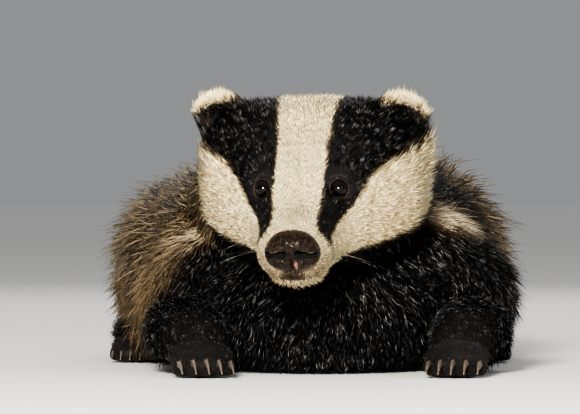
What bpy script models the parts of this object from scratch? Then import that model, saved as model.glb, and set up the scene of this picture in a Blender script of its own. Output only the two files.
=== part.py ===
"""European badger, a life-size still model lying on its belly with its head up, facing -Y.

Metres, +Z up. The origin is on the floor under the middle of the belly, on the belly's flat.
The animal's own left is +X. Each soft part is made out to the tips of its coat.
"""

import math
import random

import bmesh
import bpy
import numpy as np
from mathutils import Matrix, Vector
from mathutils.bvhtree import BVHTree

GAP = 0.0004  # between two nodes that meet
COAT_SEED = 3
PARENT = "badger"

# The trunk, chest to rump: y, middle x, half width, top, height of the widest line, squareness,
# and how much higher the back is on the animal's left, as a share of its height over the widest line
TRUNK = (
    (-0.218, 0.004, 0.030, 0.062, 0.036, 2.1, 0.00),
    (-0.200, 0.004, 0.066, 0.090, 0.040, 2.2, 0.00),
    (-0.160, 0.004, 0.094, 0.122, 0.046, 2.2, 0.00),
    (-0.105, 0.003, 0.112, 0.145, 0.050, 2.3, 0.00),
    (-0.030, 0.000, 0.126, 0.149, 0.053, 2.7, 0.10),
    (0.050, -0.001, 0.133, 0.150, 0.055, 3.0, 0.15),
    (0.130, -0.002, 0.133, 0.149, 0.055, 3.0, 0.15),
    (0.200, -0.002, 0.122, 0.142, 0.052, 2.7, 0.10),
    (0.250, -0.004, 0.102, 0.124, 0.048, 2.4, 0.05),
    (0.285, -0.006, 0.066, 0.094, 0.044, 2.2, 0.00),
    (0.302, -0.007, 0.024, 0.062, 0.040, 2.0, 0.00),
)
TRUNK_DROP = 0.010  # how far the trunk's round underside would pass below the floor
BELLY_SINK = 0.003  # the most that the underside rises when the trunk is sunk, as its coat is pressed flat
CHEST_END = -0.112  # y of the cut between chest and torso

# The head in its own frame: forward, half width, top, bottom, widest height, squareness above, below
HEAD = (
    (0.086, 0.0165, 0.0085, -0.0180, -0.004, 2.2, 2.1),
    (0.080, 0.0218, 0.0128, -0.0255, -0.005, 2.2, 2.1),
    (0.070, 0.0242, 0.0158, -0.0300, -0.006, 2.2, 2.1),
    (0.055, 0.0265, 0.0190, -0.0330, -0.007, 2.3, 2.1),
    (0.040, 0.0320, 0.0245, -0.0370, -0.007, 2.3, 2.1),
    (0.025, 0.0430, 0.0320, -0.0420, -0.007, 2.4, 2.2),
    (0.010, 0.0570, 0.0405, -0.0470, -0.007, 2.5, 2.4),
    (-0.008, 0.0695, 0.0480, -0.0520, -0.006, 2.8, 2.6),
    (-0.025, 0.0735, 0.0535, -0.0540, -0.006, 3.0, 2.6),
    (-0.045, 0.0710, 0.0535, -0.0530, -0.005, 3.0, 2.5),
    (-0.062, 0.0610, 0.0460, -0.0480, -0.004, 2.6, 2.3),
    (-0.074, 0.0400, 0.0310, -0.0340, -0.004, 2.2, 2.2),
    (-0.079, 0.0180, 0.0120, -0.0180, -0.004, 2.0, 2.0),
)
HEAD_PLACE = Vector((-0.002, -0.245, 0.112))
HEAD_PITCH = math.radians(23.5)  # nose down
HEAD_YAW = math.radians(-8)  # towards the animal's right

NOSE = (
    (0.0930, 0.0090, 0.0050, -0.0080, -0.002, 2.2, 2.2),
    (0.0915, 0.0128, 0.0082, -0.0106, -0.002, 2.3, 2.2),
    (0.0880, 0.0156, 0.0104, -0.0124, -0.002, 2.4, 2.2),
    (0.0830, 0.0166, 0.0114, -0.0130, -0.002, 2.4, 2.2),
    (0.0780, 0.0150, 0.0104, -0.0120, -0.002, 2.3, 2.2),
    (0.0740, 0.0110, 0.0070, -0.0090, -0.002, 2.2, 2.2),
)
NOSTRIL_PLACE = (0.0082, 0.0915, -0.0040)
NOSTRIL_SIZE = (0.0042, 0.0048, 0.0026)
NOSTRIL_SLIT_PLACE = (0.0142, 0.0895, -0.0052)
NOSTRIL_SLIT_SIZE = (0.0046, 0.0042, 0.0011)
NOSTRIL_SLIT_TURN = 0.25
PHILTRUM_SIZE = (0.0009, 0.0060, 0.0080)

EYE_PLACE = (0.0235, 0.0290, 0.0158)  # out, forward, up, in the head's frame
EYE_RADIUS = 0.0064
EYE_GAZE = (0.38, 0.84, 0.38)
EYE_HOLLOW = 0.0030  # how far the face sinks round the eye
EYE_HOLLOW_REACH = 0.0130
LID_THICKNESS = 0.0015
LID_OPENING = (0.0054, 0.0080, 0.0047)

# The line of the mouth, seen from the side in the head's frame: forward, height
MOUTH = ((0.090, -0.0185), (0.080, -0.0205), (0.070, -0.0215), (0.058, -0.0225), (0.044, -0.0235),
         (0.036, -0.0225))
MOUTH_GAP = 0.0012
MOUTH_DEPTH = 0.0040

EAR_PLACE = (0.0585, -0.0390, 0.0350)
EAR_SIZE = (0.0205, 0.0110, 0.0230)
EAR_CUP_SIZE = (0.0150, 0.0100, 0.0175)
EAR_CUP_SHIFT = 0.0070
EAR_LEAN = math.radians(20)  # top outwards
EAR_TURN = math.radians(14)  # opening outwards

# Neck, limbs and tail: x, y, z, half width, half height, squareness
NECK = (
    (0.000, -0.214, 0.116, 0.052, 0.046, 2.3),
    (0.000, -0.190, 0.113, 0.071, 0.056, 2.4),
    (0.001, -0.150, 0.105, 0.084, 0.060, 2.4),
    (0.002, -0.110, 0.096, 0.092, 0.061, 2.4),
    (0.002, -0.060, 0.086, 0.088, 0.057, 2.3),
)
UPPER_ARM = (
    (0.050, -0.134, 0.094, 0.024, 0.022, 2.0),
    (0.060, -0.140, 0.082, 0.037, 0.040, 2.1),
    (0.083, -0.148, 0.057, 0.040, 0.043, 2.2),
    (0.100, -0.150, 0.034, 0.034, 0.038, 2.2),
    (0.103, -0.150, 0.016, 0.026, 0.028, 2.2),
)
FOREARM = (
    (0.102, -0.150, 0.029, 0.027, 0.030, 2.1),
    (0.100, -0.190, 0.026, 0.029, 0.028, 2.2),
    (0.095, -0.228, 0.022, 0.025, 0.024, 2.3),
    (0.090, -0.252, 0.019, 0.022, 0.019, 2.3),
    (0.088, -0.262, 0.017, 0.016, 0.014, 2.2),
)
RIGHT_ARM_SHIFT = -0.021  # the animal's right arm is held closer in
HAUNCH = (
    (0.060, 0.250, 0.066, 0.022, 0.030, 2.1),
    (0.078, 0.226, 0.062, 0.044, 0.054, 2.2),
    (0.090, 0.180, 0.058, 0.052, 0.064, 2.3),
    (0.096, 0.135, 0.051, 0.046, 0.056, 2.3),
    (0.101, 0.102, 0.041, 0.036, 0.043, 2.2),
    (0.104, 0.084, 0.033, 0.020, 0.024, 2.1),
)
SHANK = (
    (0.100, 0.140, 0.022, 0.018, 0.016, 2.2),
    (0.108, 0.110, 0.021, 0.022, 0.019, 2.3),
    (0.114, 0.075, 0.018, 0.021, 0.016, 2.3),
    (0.1155, 0.050, 0.016, 0.015, 0.013, 2.2),
)
TAIL = (
    (-0.006, 0.262, 0.050, 0.024, 0.026, 2.1),
    (-0.007, 0.292, 0.044, 0.033, 0.033, 2.1),
    (-0.010, 0.330, 0.034, 0.034, 0.033, 2.2),
    (-0.016, 0.375, 0.028, 0.032, 0.031, 2.2),
    (-0.026, 0.415, 0.022, 0.024, 0.024, 2.1),
    (-0.032, 0.438, 0.017, 0.010, 0.010, 2.0),
)

# Under a long coat a core carries the locks. How deep it lies at most, and the shares of the
# form's length where it starts to sink to that and over which it does
CORE_DEPTH = {"torso": 0.014, "neck": 0.008, "haunch": 0.008, "tail": 0.010}
SINK_START = {"torso": (CHEST_END - TRUNK[0][0]) / (TRUNK[-1][0] - TRUNK[0][0]),
              "neck": 0.1, "haunch": 0.0, "tail": 0.0}
SINK_REACH = {"torso": 0.13, "neck": 0.4, "haunch": 0.25, "tail": 0.2}
CORE_END = 0.975  # the core stops before the end of its form

# The locks of each long coat. "from" and "to" are shares of the form's length, "spread" the
# angle from the top line to the outermost lock, and "down" the most that a lock turns down the flank
LOCKS = {
    "torso": {"rows": 11, "across": 10, "from": 0.225, "to": 0.93, "spread": 112, "length": 0.072,
              "width": 0.037, "thick": 0.006, "down": 38},
    "neck": {"rows": 3, "across": 6, "from": 0.22, "to": 0.66, "spread": 96, "length": 0.042,
             "width": 0.030, "thick": 0.005, "down": 30},
    "haunch": {"rows": 4, "across": 4, "from": 0.92, "to": 0.22, "spread": 62, "length": 0.048,
               "width": 0.030, "thick": 0.005, "down": 24},
    "tail": {"rows": 4, "across": 4, "from": 0.16, "to": 0.78, "spread": 100, "length": 0.055,
             "width": 0.026, "thick": 0.005, "down": 8},
}
HAUNCH_OUTSIDE = 58  # degrees from the haunch's top line to the middle of its locks
LOCK_ROOT = 0.005  # how far a lock's root lies under the core's surface
LOCK_JITTER = 0.22  # how much locks vary, as a share of their spacing and size
LOCK_TRIES = (1.0, 0.75, 0.55)  # shares of its length that a lock is tried at, to stay clear of a neighbour
LOCK_CLEARANCE = 0.0030
LOCK_FLOOR = 0.0025  # no lock reaches lower

# Rings along and points round each tube. A node and the cutter for its neighbours share them
NECK_RINGS = (7, 20)
UPPER_ARM_RINGS = (7, 14)
FOREARM_RINGS = (6, 12)
HAUNCH_RINGS = (8, 16)
SHANK_RINGS = (5, 12)
TAIL_RINGS = (8, 16)

# Paws: the middle of the wrist, heading (degrees from -Y towards the animal's outside), sizes
FORE_PAW = {"place": (0.0885, -0.268), "turn": -6.0, "length": 0.044, "width": 0.046,
            "height": 0.026, "toe": 0.0075, "claw": 0.030, "claw_root": 0.0031}
HIND_PAW = {"place": (0.1160, 0.044), "turn": 4.0, "length": 0.046, "width": 0.038,
            "height": 0.022, "toe": 0.0063, "claw": 0.016, "claw_root": 0.0024}
TOES = 5
TOE_SHAPE = (1.02, 1.90, 1.12)  # half a toe's width, length and height, in its radius
CLAW_TIP = 0.0016  # height of the middle of a claw's tip
TOE_ARC = 0.30  # how far the outer toes stand back, as a share of the paw's width

COLOURS = {
    "coat_grey": (0.30, 0.28, 0.25),
    "coat_black": (0.020, 0.018, 0.017),
    "coat_white": (0.82, 0.76, 0.64),
    "nose_skin": (0.035, 0.025, 0.022),
    "eye": (0.010, 0.008, 0.007),
    "claw": (0.30, 0.24, 0.17),
}
ROUGHNESS = {"nose_skin": 0.35, "eye": 0.05, "claw": 0.4}


def clear_scene():
    for old in list(bpy.data.objects):
        bpy.data.objects.remove(old)


def material(name):
    found = bpy.data.materials.get(name)
    if found:
        return found
    made = bpy.data.materials.new(name)
    made.use_nodes = True
    shader = made.node_tree.nodes["Principled BSDF"]
    shader.inputs["Base Color"].default_value = (*COLOURS[name], 1)
    shader.inputs["Roughness"].default_value = ROUGHNESS.get(name, 0.85)
    shader.inputs["Metallic"].default_value = 0.0
    made.diffuse_color = (*COLOURS[name], 1)
    return made


def smooth_table(rows, at):
    """The rows' columns at the given places along the first one, on a smooth curve with no overshoot."""
    rows = np.array(rows, float)
    if rows[0, 0] > rows[-1, 0]:
        rows = rows[::-1]
    x, y = rows[:, 0], rows[:, 1:]
    step = np.diff(x)[:, None]
    slope = np.diff(y, axis=0) / step
    before, after = slope[:-1], slope[1:]
    harmonic = 2 * before * after / np.where(before == -after, 1, before + after)
    inner = np.where(before * after > 0, harmonic, 0)
    tangent = np.vstack([slope[:1], inner, slope[-1:]])
    at = np.clip(np.asarray(at, float), x[0], x[-1])
    i = np.clip(np.searchsorted(x, at, side="right") - 1, 0, len(x) - 2)
    s = ((at - x[i]) / (x[i + 1] - x[i]))[..., None]
    h = (x[i + 1] - x[i])[..., None]
    return ((2 * s**3 - 3 * s**2 + 1) * y[i] + (s**3 - 2 * s**2 + s) * h * tangent[i]
            + (3 * s**2 - 2 * s**3) * y[i + 1] + (s**3 - s**2) * h * tangent[i + 1])


def oval(angle, side, up, down, square_up, square_down):
    """Out and up of a point on a squared oval. Angle 0 is its top and grows towards +X."""
    sine, cosine = np.sin(angle), np.cos(angle)
    power = 2 / np.where(cosine >= 0, square_up, square_down)
    out = side * np.sign(sine) * np.abs(sine) ** power
    height = np.where(cosine >= 0, up, down) * np.sign(cosine) * np.abs(cosine) ** power
    return out, height


class TrunkForm:
    """The trunk as a surface: a place along y and an angle give a point, grown outwards or sunk."""

    start, end = TRUNK[0][0], TRUNK[-1][0]

    def point(self, along, angle, grow=0.0):
        x, side, top, widest, square, tilt = np.moveaxis(smooth_table(TRUNK, along), -1, 0)
        under = widest + TRUNK_DROP + np.maximum(grow, -BELLY_SINK)
        out, height = oval(angle, side + grow, top - widest + grow, under, square, square)
        height = np.where(height > 0, height * (1 + tilt * out / side), height)
        return np.stack([x + out, np.broadcast_to(along, out.shape), widest + height], -1)


class TubeForm:
    """A limb, neck or tail as a surface along a path, with sections that all face the path's two ends.

    Along runs from 0 to 1.
    """

    start, end = 0.0, 1.0

    def __init__(self, rows, mirror=1, shift=0.0):
        rows = np.array(rows, float)
        rows[:, 0] = rows[:, 0] * mirror - shift * (mirror < 0)
        tangent = rows[-1, :3] - rows[0, :3]
        length = tangent @ tangent
        along = (rows[:, :3] - rows[0, :3]) @ tangent / length
        self.rows = np.column_stack([along, rows])
        tangent /= math.sqrt(length)
        self.right = np.array((1.0, 0.0, 0.0)) - tangent[0] * tangent
        self.right /= np.linalg.norm(self.right)
        self.up = np.cross(self.right, tangent)
        self.up *= 1 if self.up[2] > 0 else -1

    def point(self, along, angle, grow=0.0):
        x, y, z, side, tall, square = np.moveaxis(smooth_table(self.rows, along), -1, 0)
        out, height = oval(angle, side + grow, tall + grow, tall + grow, square, square)
        return np.stack([x, y, z], -1) + self.right * out[..., None] + self.up * height[..., None]


class HeadForm:
    """The head, or the nose, in the head's own frame, set in place by the head's matrix."""

    def __init__(self, rows):
        self.rows = rows
        self.start, self.end = rows[-1][0], rows[0][0]

    def point(self, along, angle, grow=0.0):
        columns = smooth_table(self.rows, along)
        side, top, bottom, widest, square_up, square_down = np.moveaxis(columns, -1, 0)
        above, below = top - widest + grow, widest - bottom + grow
        out, height = oval(angle, side + grow, above, below, square_up, square_down)
        return np.stack([out, np.broadcast_to(along, out.shape), widest + height], -1)


class CoreForm:
    """A form sunk to the core that carries its locks."""

    def __init__(self, form, kind):
        self.form = form
        self.depth, self.from_share, self.reach = CORE_DEPTH[kind], SINK_START[kind], SINK_REACH[kind]
        self.start, self.length = form.start, form.end - form.start
        self.end = form.start + CORE_END * self.length

    def sink(self, along):
        s = np.clip(((along - self.start) / self.length - self.from_share) / self.reach, 0, 1)
        return self.depth * s * s * (3 - 2 * s)

    def point(self, along, angle, grow=0.0):
        return self.form.point(along, angle, grow - self.sink(along))


def head_matrix():
    """The head's frame has its own forward along +Y, so it is turned to face -Y and mirrored back in x."""
    turned = Matrix.Rotation(HEAD_YAW, 4, "Z") @ Matrix.Rotation(HEAD_PITCH, 4, "X")
    return Matrix.Translation(HEAD_PLACE) @ turned @ Matrix.Diagonal((1, -1, 1, 1))


def as_object(name, bm, colour="coat_grey"):
    bm.normal_update()
    bmesh.ops.recalc_face_normals(bm, faces=bm.faces)
    mesh = bpy.data.meshes.new(name)
    bm.to_mesh(mesh)
    bm.free()
    mesh.shade_smooth()
    made = bpy.data.objects.new(name, mesh)
    bpy.context.scene.collection.objects.link(made)
    made.data.materials.append(material(colour))
    return made


def skin(name, rings, colour="coat_grey", place=None):
    """A closed skin of triangles over rings of points. A form and its grown copy get matching triangles.

    A last ring of one point is a tip.
    """
    bm = bmesh.new()
    loops = [[bm.verts.new(p) for p in ring] for ring in rings]
    for a, b in zip(loops, loops[1:]):
        for i in range(len(a)):
            j = (i + 1) % len(a)
            bm.faces.new((a[i], a[j], b[j % len(b)]))
            if len(b) > 1:
                bm.faces.new((a[i], b[j], b[i]))
    for end in (loops[0], loops[-1]):
        if len(end) == 3:
            bm.faces.new(end)
        elif len(end) > 3:
            middle = bm.verts.new(sum((vert.co for vert in end), Vector()) / len(end))
            for i in range(len(end)):
                bm.faces.new((end[i], end[(i + 1) % len(end)], middle))
    bm.transform(place or Matrix.Identity(4))
    return as_object(name, bm, colour)


def loft(name, form, rings, segments, grow=0.0, place=None, colour="coat_grey", bend=None):
    """A closed skin through rings of a form's points, ended by flat caps."""
    start, end = form.start, form.end
    spacing = (1 - np.cos(np.linspace(0, math.pi, rings))) / 2  # closer near the ends
    along = start + (end - start) * (0.35 * np.linspace(0, 1, rings) + 0.65 * spacing)
    angle = (np.arange(segments) + 0.5) * 2 * math.pi / segments
    points = form.point(np.repeat(along[:, None], segments, 1), np.repeat(angle[None], rings, 0), grow)
    if bend is not None:
        points = bend(points)
    centre = points.mean(1)
    for end, inner in ((0, 1), (-1, -2)):
        outwards = centre[end] - centre[inner]
        points[end] += grow * outwards / np.linalg.norm(outwards)
    if place is not None:
        points = points @ np.array(place.to_3x3()).T + np.array(place.translation)
    return skin(name, points, colour)


def ellipsoid(name, centre, size, turn=None, place=None, segments=16, rings=10, grow=0.0,
              colour="coat_grey"):
    bm = bmesh.new()
    bmesh.ops.create_uvsphere(bm, u_segments=segments, v_segments=rings, radius=1)
    matrix = Matrix.Translation(centre) @ (turn or Matrix.Identity(4))
    matrix = matrix @ Matrix.Diagonal([s + grow for s in size] + [1])
    bm.transform((place or Matrix.Identity(4)) @ matrix)
    return as_object(name, bm, colour)


def box(name, low, high, place=None):
    bm = bmesh.new()
    bmesh.ops.create_cube(bm, size=1)
    middle = (Vector(low) + Vector(high)) / 2
    size = Vector(high) - Vector(low)
    bm.transform((place or Matrix.Identity(4)) @ Matrix.Translation(middle) @ Matrix.Diagonal((*size, 1)))
    return as_object(name, bm)


def boolean(target, others, operation, solver="MANIFOLD"):
    """Joins or cuts target by all the others in one Boolean on their collection, and removes them.

    The manifold solver is used because the exact one fails on the trunk's flat underside.
    """
    group = bpy.data.collections.new("tools_of_" + target.name)
    bpy.context.scene.collection.children.link(group)
    for other in others:
        group.objects.link(other)
    step = target.modifiers.new(operation.lower(), "BOOLEAN")
    step.operation = operation
    step.solver = solver
    step.operand_type = "COLLECTION"
    step.collection = group
    graph = bpy.context.evaluated_depsgraph_get()
    made = bpy.data.meshes.new_from_object(target.evaluated_get(graph))
    target.modifiers.clear()
    target.data = made
    for other in others:
        bpy.data.objects.remove(other)
    bpy.data.collections.remove(group)
    return target


def join(target, *others):
    return boolean(target, others, "UNION")


def cut(target, *others):
    for other in others:
        boolean(target, [other], "DIFFERENCE")
    return target


def keep_largest(target):
    """Leaves only the largest closed surface of a mesh, whose faces meet edge to edge."""
    bm = bmesh.new()
    bm.from_mesh(target.data)
    left, shells = set(bm.faces), []
    while left:
        shell, front = set(), [left.pop()]
        while front:
            face = front.pop()
            shell.add(face)
            near = {other for edge in face.edges for other in edge.link_faces} & left
            left -= near
            front.extend(near)
        shells.append(shell)
    largest = max(shells, key=lambda shell: sum(face.calc_area() for face in shell))
    bmesh.ops.delete(bm, geom=[face for face in bm.faces if face not in largest], context="FACES")
    bm.to_mesh(target.data)
    bm.free()
    return target


def finish(target, colour, on_floor=False):
    if on_floor:
        reach = 1.0
        cut(target, box("floor", (-reach, -reach, -reach), (reach, reach, 0)))
    keep_largest(target)
    target.data.materials.clear()
    target.data.materials.append(material(colour))
    target.data.shade_smooth()
    target.data.set_sharp_from_angle(angle=math.radians(50))
    target.parent = bpy.data.objects[PARENT]
    return target


HEAD_MATRIX = head_matrix()
TRUNK_FORM = TrunkForm()
TRUNK_CORE = CoreForm(TRUNK_FORM, "torso")
HEAD_FORM = HeadForm(HEAD)
NOSE_FORM = HeadForm(NOSE)
NECK_FORM = TubeForm(NECK)
NECK_CORE = CoreForm(NECK_FORM, "neck")
TAIL_FORM = TubeForm(TAIL)
TAIL_CORE = CoreForm(TAIL_FORM, "tail")


def arm_shift(side):
    return 0.0 if side > 0 else RIGHT_ARM_SHIFT


def eye_hollows(points):
    """Sinks the face a little round each eye."""
    for side in (-1, 1):
        eye = np.array((side * EYE_PLACE[0], EYE_PLACE[1], EYE_PLACE[2]))
        gaze = np.array((side * EYE_GAZE[0], EYE_GAZE[1], EYE_GAZE[2]))
        near = np.exp(-np.sum((points - eye) ** 2, -1) / EYE_HOLLOW_REACH**2)
        points = points - EYE_HOLLOW * near[..., None] * gaze / np.linalg.norm(gaze)
    return points


def head_loft(name, grow=0.0, rings=19, segments=24):
    return loft(name, HEAD_FORM, rings, segments, grow, place=HEAD_MATRIX,
                colour="coat_white", bend=eye_hollows)


def trunk_loft(name, grow=0.0, form=TRUNK_CORE, rings=18, segments=26):
    return loft(name, form, rings, segments, grow)


def eyeball(name, side, grow=0.0):
    centre = Vector((side * EYE_PLACE[0], EYE_PLACE[1], EYE_PLACE[2]))
    gaze = Vector((side * EYE_GAZE[0], EYE_GAZE[1], EYE_GAZE[2])).normalized()
    turn = gaze.to_track_quat("Z", "Y").to_matrix().to_4x4()
    return ellipsoid(name, centre, [EYE_RADIUS] * 3, turn, HEAD_MATRIX, 12, 8, grow, "eye")


def lid_opening(side):
    """The almond that the lids leave, along the gaze."""
    gaze = Vector((side * EYE_GAZE[0], EYE_GAZE[1], EYE_GAZE[2])).normalized()
    centre = Vector((side * EYE_PLACE[0], EYE_PLACE[1], EYE_PLACE[2])) + gaze * EYE_RADIUS
    turn = gaze.to_track_quat("Y", "Z").to_matrix().to_4x4()
    return ellipsoid("opening", centre, LID_OPENING, turn, HEAD_MATRIX, 10, 6)


def mouth_groove():
    """A thin slab along the line of the mouth, left only where it is near the surface."""
    at = np.linspace(MOUTH[-1][0], MOUTH[0][0], 7)
    height = smooth_table(MOUTH, at)[:, 0]
    reach = HEAD[5][1]
    half = MOUTH_GAP / 2
    corners = ((-reach, -half), (reach, -half), (reach, half), (-reach, half))
    rings = [[(x, forward, middle + z) for x, z in corners] for forward, middle in zip(at, height)]
    return cut(skin("mouth", rings, place=HEAD_MATRIX), head_loft("inside_of_mouth", -MOUTH_DEPTH))


def nose_loft(name, grow=0.0):
    return loft(name, NOSE_FORM, 7, 16, grow, place=HEAD_MATRIX, colour="nose_skin")


def make_head():
    head = head_loft("head")
    lids = [ellipsoid("lid", (side * EYE_PLACE[0], EYE_PLACE[1], EYE_PLACE[2]),
                      [EYE_RADIUS + LID_THICKNESS] * 3, None, HEAD_MATRIX, 12, 8) for side in (-1, 1)]
    join(head, *lids)
    cut(head, mouth_groove(), nose_loft("nose_socket", GAP))
    for side in (-1, 1):
        cut(head, eyeball("eye_socket", side, GAP), lid_opening(side))
    finish(head, "coat_white")
    for side, word in ((1, "left"), (-1, "right")):
        finish(eyeball("eye_" + word, side), "eye")


def make_nose():
    nose = nose_loft("nose")
    for side in (-1, 1):
        place = Vector((side * NOSTRIL_PLACE[0], *NOSTRIL_PLACE[1:]))
        slit = Vector((side * NOSTRIL_SLIT_PLACE[0], *NOSTRIL_SLIT_PLACE[1:]))
        turn = Matrix.Rotation(side * NOSTRIL_SLIT_TURN, 4, "Y")
        cut(nose, ellipsoid("nostril", place, NOSTRIL_SIZE, None, HEAD_MATRIX, 10, 6),
            ellipsoid("slit", slit, NOSTRIL_SLIT_SIZE, turn, HEAD_MATRIX, 10, 6))
    width, depth, height = PHILTRUM_SIZE
    front, low = NOSE[0][0], NOSE[3][3]
    cut(nose, box("philtrum", (-width / 2, front - depth / 2, low - height / 4),
                  (width / 2, front + depth, low + height), HEAD_MATRIX))
    finish(nose, "nose_skin")


def ear_matrix(side):
    centre = Vector((side * EAR_PLACE[0], EAR_PLACE[1], EAR_PLACE[2]))
    lean = Matrix.Rotation(side * EAR_LEAN, 4, "Y")
    turn = Matrix.Rotation(-side * EAR_TURN, 4, "Z")
    return HEAD_MATRIX @ Matrix.Translation(centre) @ lean @ turn


def make_ear(name, side):
    place = ear_matrix(side)
    ear = ellipsoid(name, (0, 0, 0), EAR_SIZE, None, place, 14, 9)
    cup = ellipsoid("cup", (0, EAR_CUP_SHIFT, 0.001), EAR_CUP_SIZE, None, place, 12, 8)
    cut(ear, cup, head_loft("head_under_ear", GAP))
    finish(ear, "coat_black")


def tube_loft(name, form, rings, segments, grow=0.0, colour="coat_black"):
    return loft(name, form, rings, segments, grow, colour=colour)


def surface_at(form, along, angle):
    """A point of a form, its directions along, around and out, and the metres to each coordinate's unit."""
    step = 1e-4
    here = form.point(along, angle)
    by_along = (form.point(along + step * form.length, angle) - here) / (step * form.length)
    by_angle = (form.point(along, angle + step) - here) / step
    scale_along, scale_around = np.linalg.norm(by_along), np.linalg.norm(by_angle)
    forward, around = by_along / scale_along, by_angle / scale_around
    out = np.cross(around, forward)
    centre = form.point(along, np.array([0.0, math.pi])).mean(0)
    out *= math.copysign(1, out @ (here - centre)) / np.linalg.norm(out)
    return here, forward, around, out, scale_along, scale_around


def lock_rings(form, along, angle, heading, length, sizes, rise, roll):
    """Rings of a flat lock that leaves the core, lies back along it and tapers to a tip.

    Each ring has two edges and a ridge.
    """
    shares = (0.0, 0.34, 0.70, 1.0)
    widths = (0.85, 1.0, 0.68, 0.0)
    for i, (share, width) in enumerate(zip(shares, widths)):
        here, forward, around, out, scale_along, scale_around = surface_at(form, along, angle)
        lie = math.cos(heading) * forward + math.sin(heading) * around
        across = np.cross(out, lie)
        height = -LOCK_ROOT + (rise + LOCK_ROOT) * share**0.8
        middle = here + out * height
        if width == 0:
            yield [middle]
            return
        half = sizes["width"] * width / 2
        side = across * math.cos(roll) + out * math.sin(roll)
        ridge = sizes["thick"] * (width + 0.1)
        yield [middle - side * half, middle + side * half, middle + out * ridge]
        reach = length * (shares[i + 1] - share)
        along = min(max(along + reach * math.cos(heading) / scale_along, form.start), form.end)
        angle += reach * math.sin(heading) / scale_around


def locks(kind, form, keep_out, draw, toward=1, middle=0.0):
    """A node's locks, each closed, with those left out that would meet a neighbour or the floor.

    They lie towards the form's end, or its start where toward is -1, and are spread about the
    middle angle.
    """
    sizes = LOCKS[kind]
    trees = [tree_of(shape) for shape in keep_out]
    made = []
    spacing = (sizes["to"] - sizes["from"]) / (sizes["rows"] - 1)
    for row in range(sizes["rows"]):
        for place in range(sizes["across"]):
            vary = [draw.uniform(-1, 1) * LOCK_JITTER for _ in range(6)]
            share = sizes["from"] + spacing * (row + 0.5 * vary[0])
            turn = (place + 0.5 * (row % 2) + 0.25 + 0.5 * vary[1]) / sizes["across"] * 2 - 1
            angle = math.radians(turn * sizes["spread"] + middle)
            flank = math.sin(angle)
            heading = math.radians(sizes["down"]) * flank + 0.6 * vary[2]
            if toward < 0:
                heading = math.pi - heading
            along = form.start + share * form.length
            rise = form.sink(along) * (1 - abs(vary[3]))
            for shrink in LOCK_TRIES:
                length = sizes["length"] * (1 + vary[4]) * shrink
                rings = list(lock_rings(form, along, angle, heading, length, sizes, rise, vary[5]))
                points = [Vector(p) for ring in rings for p in ring]
                clear = all(is_outside(tree, p) for tree in trees for p in points[len(rings[0]):])
                if clear and min(p.z for p in points) > LOCK_FLOOR:
                    made.append(skin(f"lock_{kind}", rings))
                    break
    return made


def tree_of(shape):
    """A search tree of a scratch object, which is removed."""
    bm = bmesh.new()
    bm.from_mesh(shape.data)
    tree = BVHTree.FromBMesh(bm)
    bm.free()
    bpy.data.objects.remove(shape)
    return tree


def is_outside(tree, point):
    nearest, normal, face, distance = tree.find_nearest(point)
    return (point - nearest).dot(normal) > 0 or distance < 1e-6


def make_neck(draw):
    neck = tube_loft("neck", NECK_CORE, *NECK_RINGS)
    neighbours = [head_loft("head", LOCK_CLEARANCE), trunk_loft("trunk", LOCK_CLEARANCE, TRUNK_FORM)]
    for side in (1, -1):
        arm = TubeForm(UPPER_ARM, side, arm_shift(side))
        neighbours.append(tube_loft("arm", arm, *UPPER_ARM_RINGS, LOCK_CLEARANCE))
    join(neck, *locks("neck", NECK_CORE, neighbours, draw))
    cut(neck, head_loft("head_under_neck", GAP), trunk_loft("trunk_under_neck", GAP))
    finish(neck, "coat_grey")


def make_trunk(draw):
    reach = 0.5
    chest = trunk_loft("chest")
    behind = box("behind_chest", (-reach, CHEST_END - GAP, -reach), (reach, reach, reach))
    cut(chest, head_loft("head_over_chest", GAP), behind)
    finish(chest, "coat_black", True)
    torso = trunk_loft("torso")
    envelopes = [TubeForm(form, side, shift) for side in (1, -1) for form, shift in
                 ((HAUNCH, 0.0), (SHANK, 0.0), (UPPER_ARM, arm_shift(side)))] + [NECK_FORM, TAIL_FORM]
    neighbours = [tube_loft("neighbour", form, *NECK_RINGS, LOCK_CLEARANCE) for form in envelopes]
    neighbours += [paw_hull(HIND_PAW, side, LOCK_CLEARANCE) for side in (1, -1)]
    join(torso, *locks("torso", TRUNK_CORE, neighbours, draw))
    cut(torso, box("before_torso", (-reach, -reach, -reach), (reach, CHEST_END, reach)))
    finish(torso, "coat_grey", True)


def make_foreleg(side, word):
    shift = arm_shift(side)
    upper_form, lower_form = TubeForm(UPPER_ARM, side, shift), TubeForm(FOREARM, side, shift)
    upper = tube_loft("upper_foreleg_" + word, upper_form, *UPPER_ARM_RINGS)
    neck = tube_loft("neck_over_arm", NECK_CORE, *NECK_RINGS, GAP)
    cut(upper, trunk_loft("trunk", GAP), neck, head_loft("head", GAP))
    finish(upper, "coat_black", True)
    lower = tube_loft("forearm_" + word, lower_form, *FOREARM_RINGS)
    cut(lower, tube_loft("upper", upper_form, *UPPER_ARM_RINGS, GAP), trunk_loft("trunk", GAP))
    finish(lower, "coat_black", True)


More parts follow.
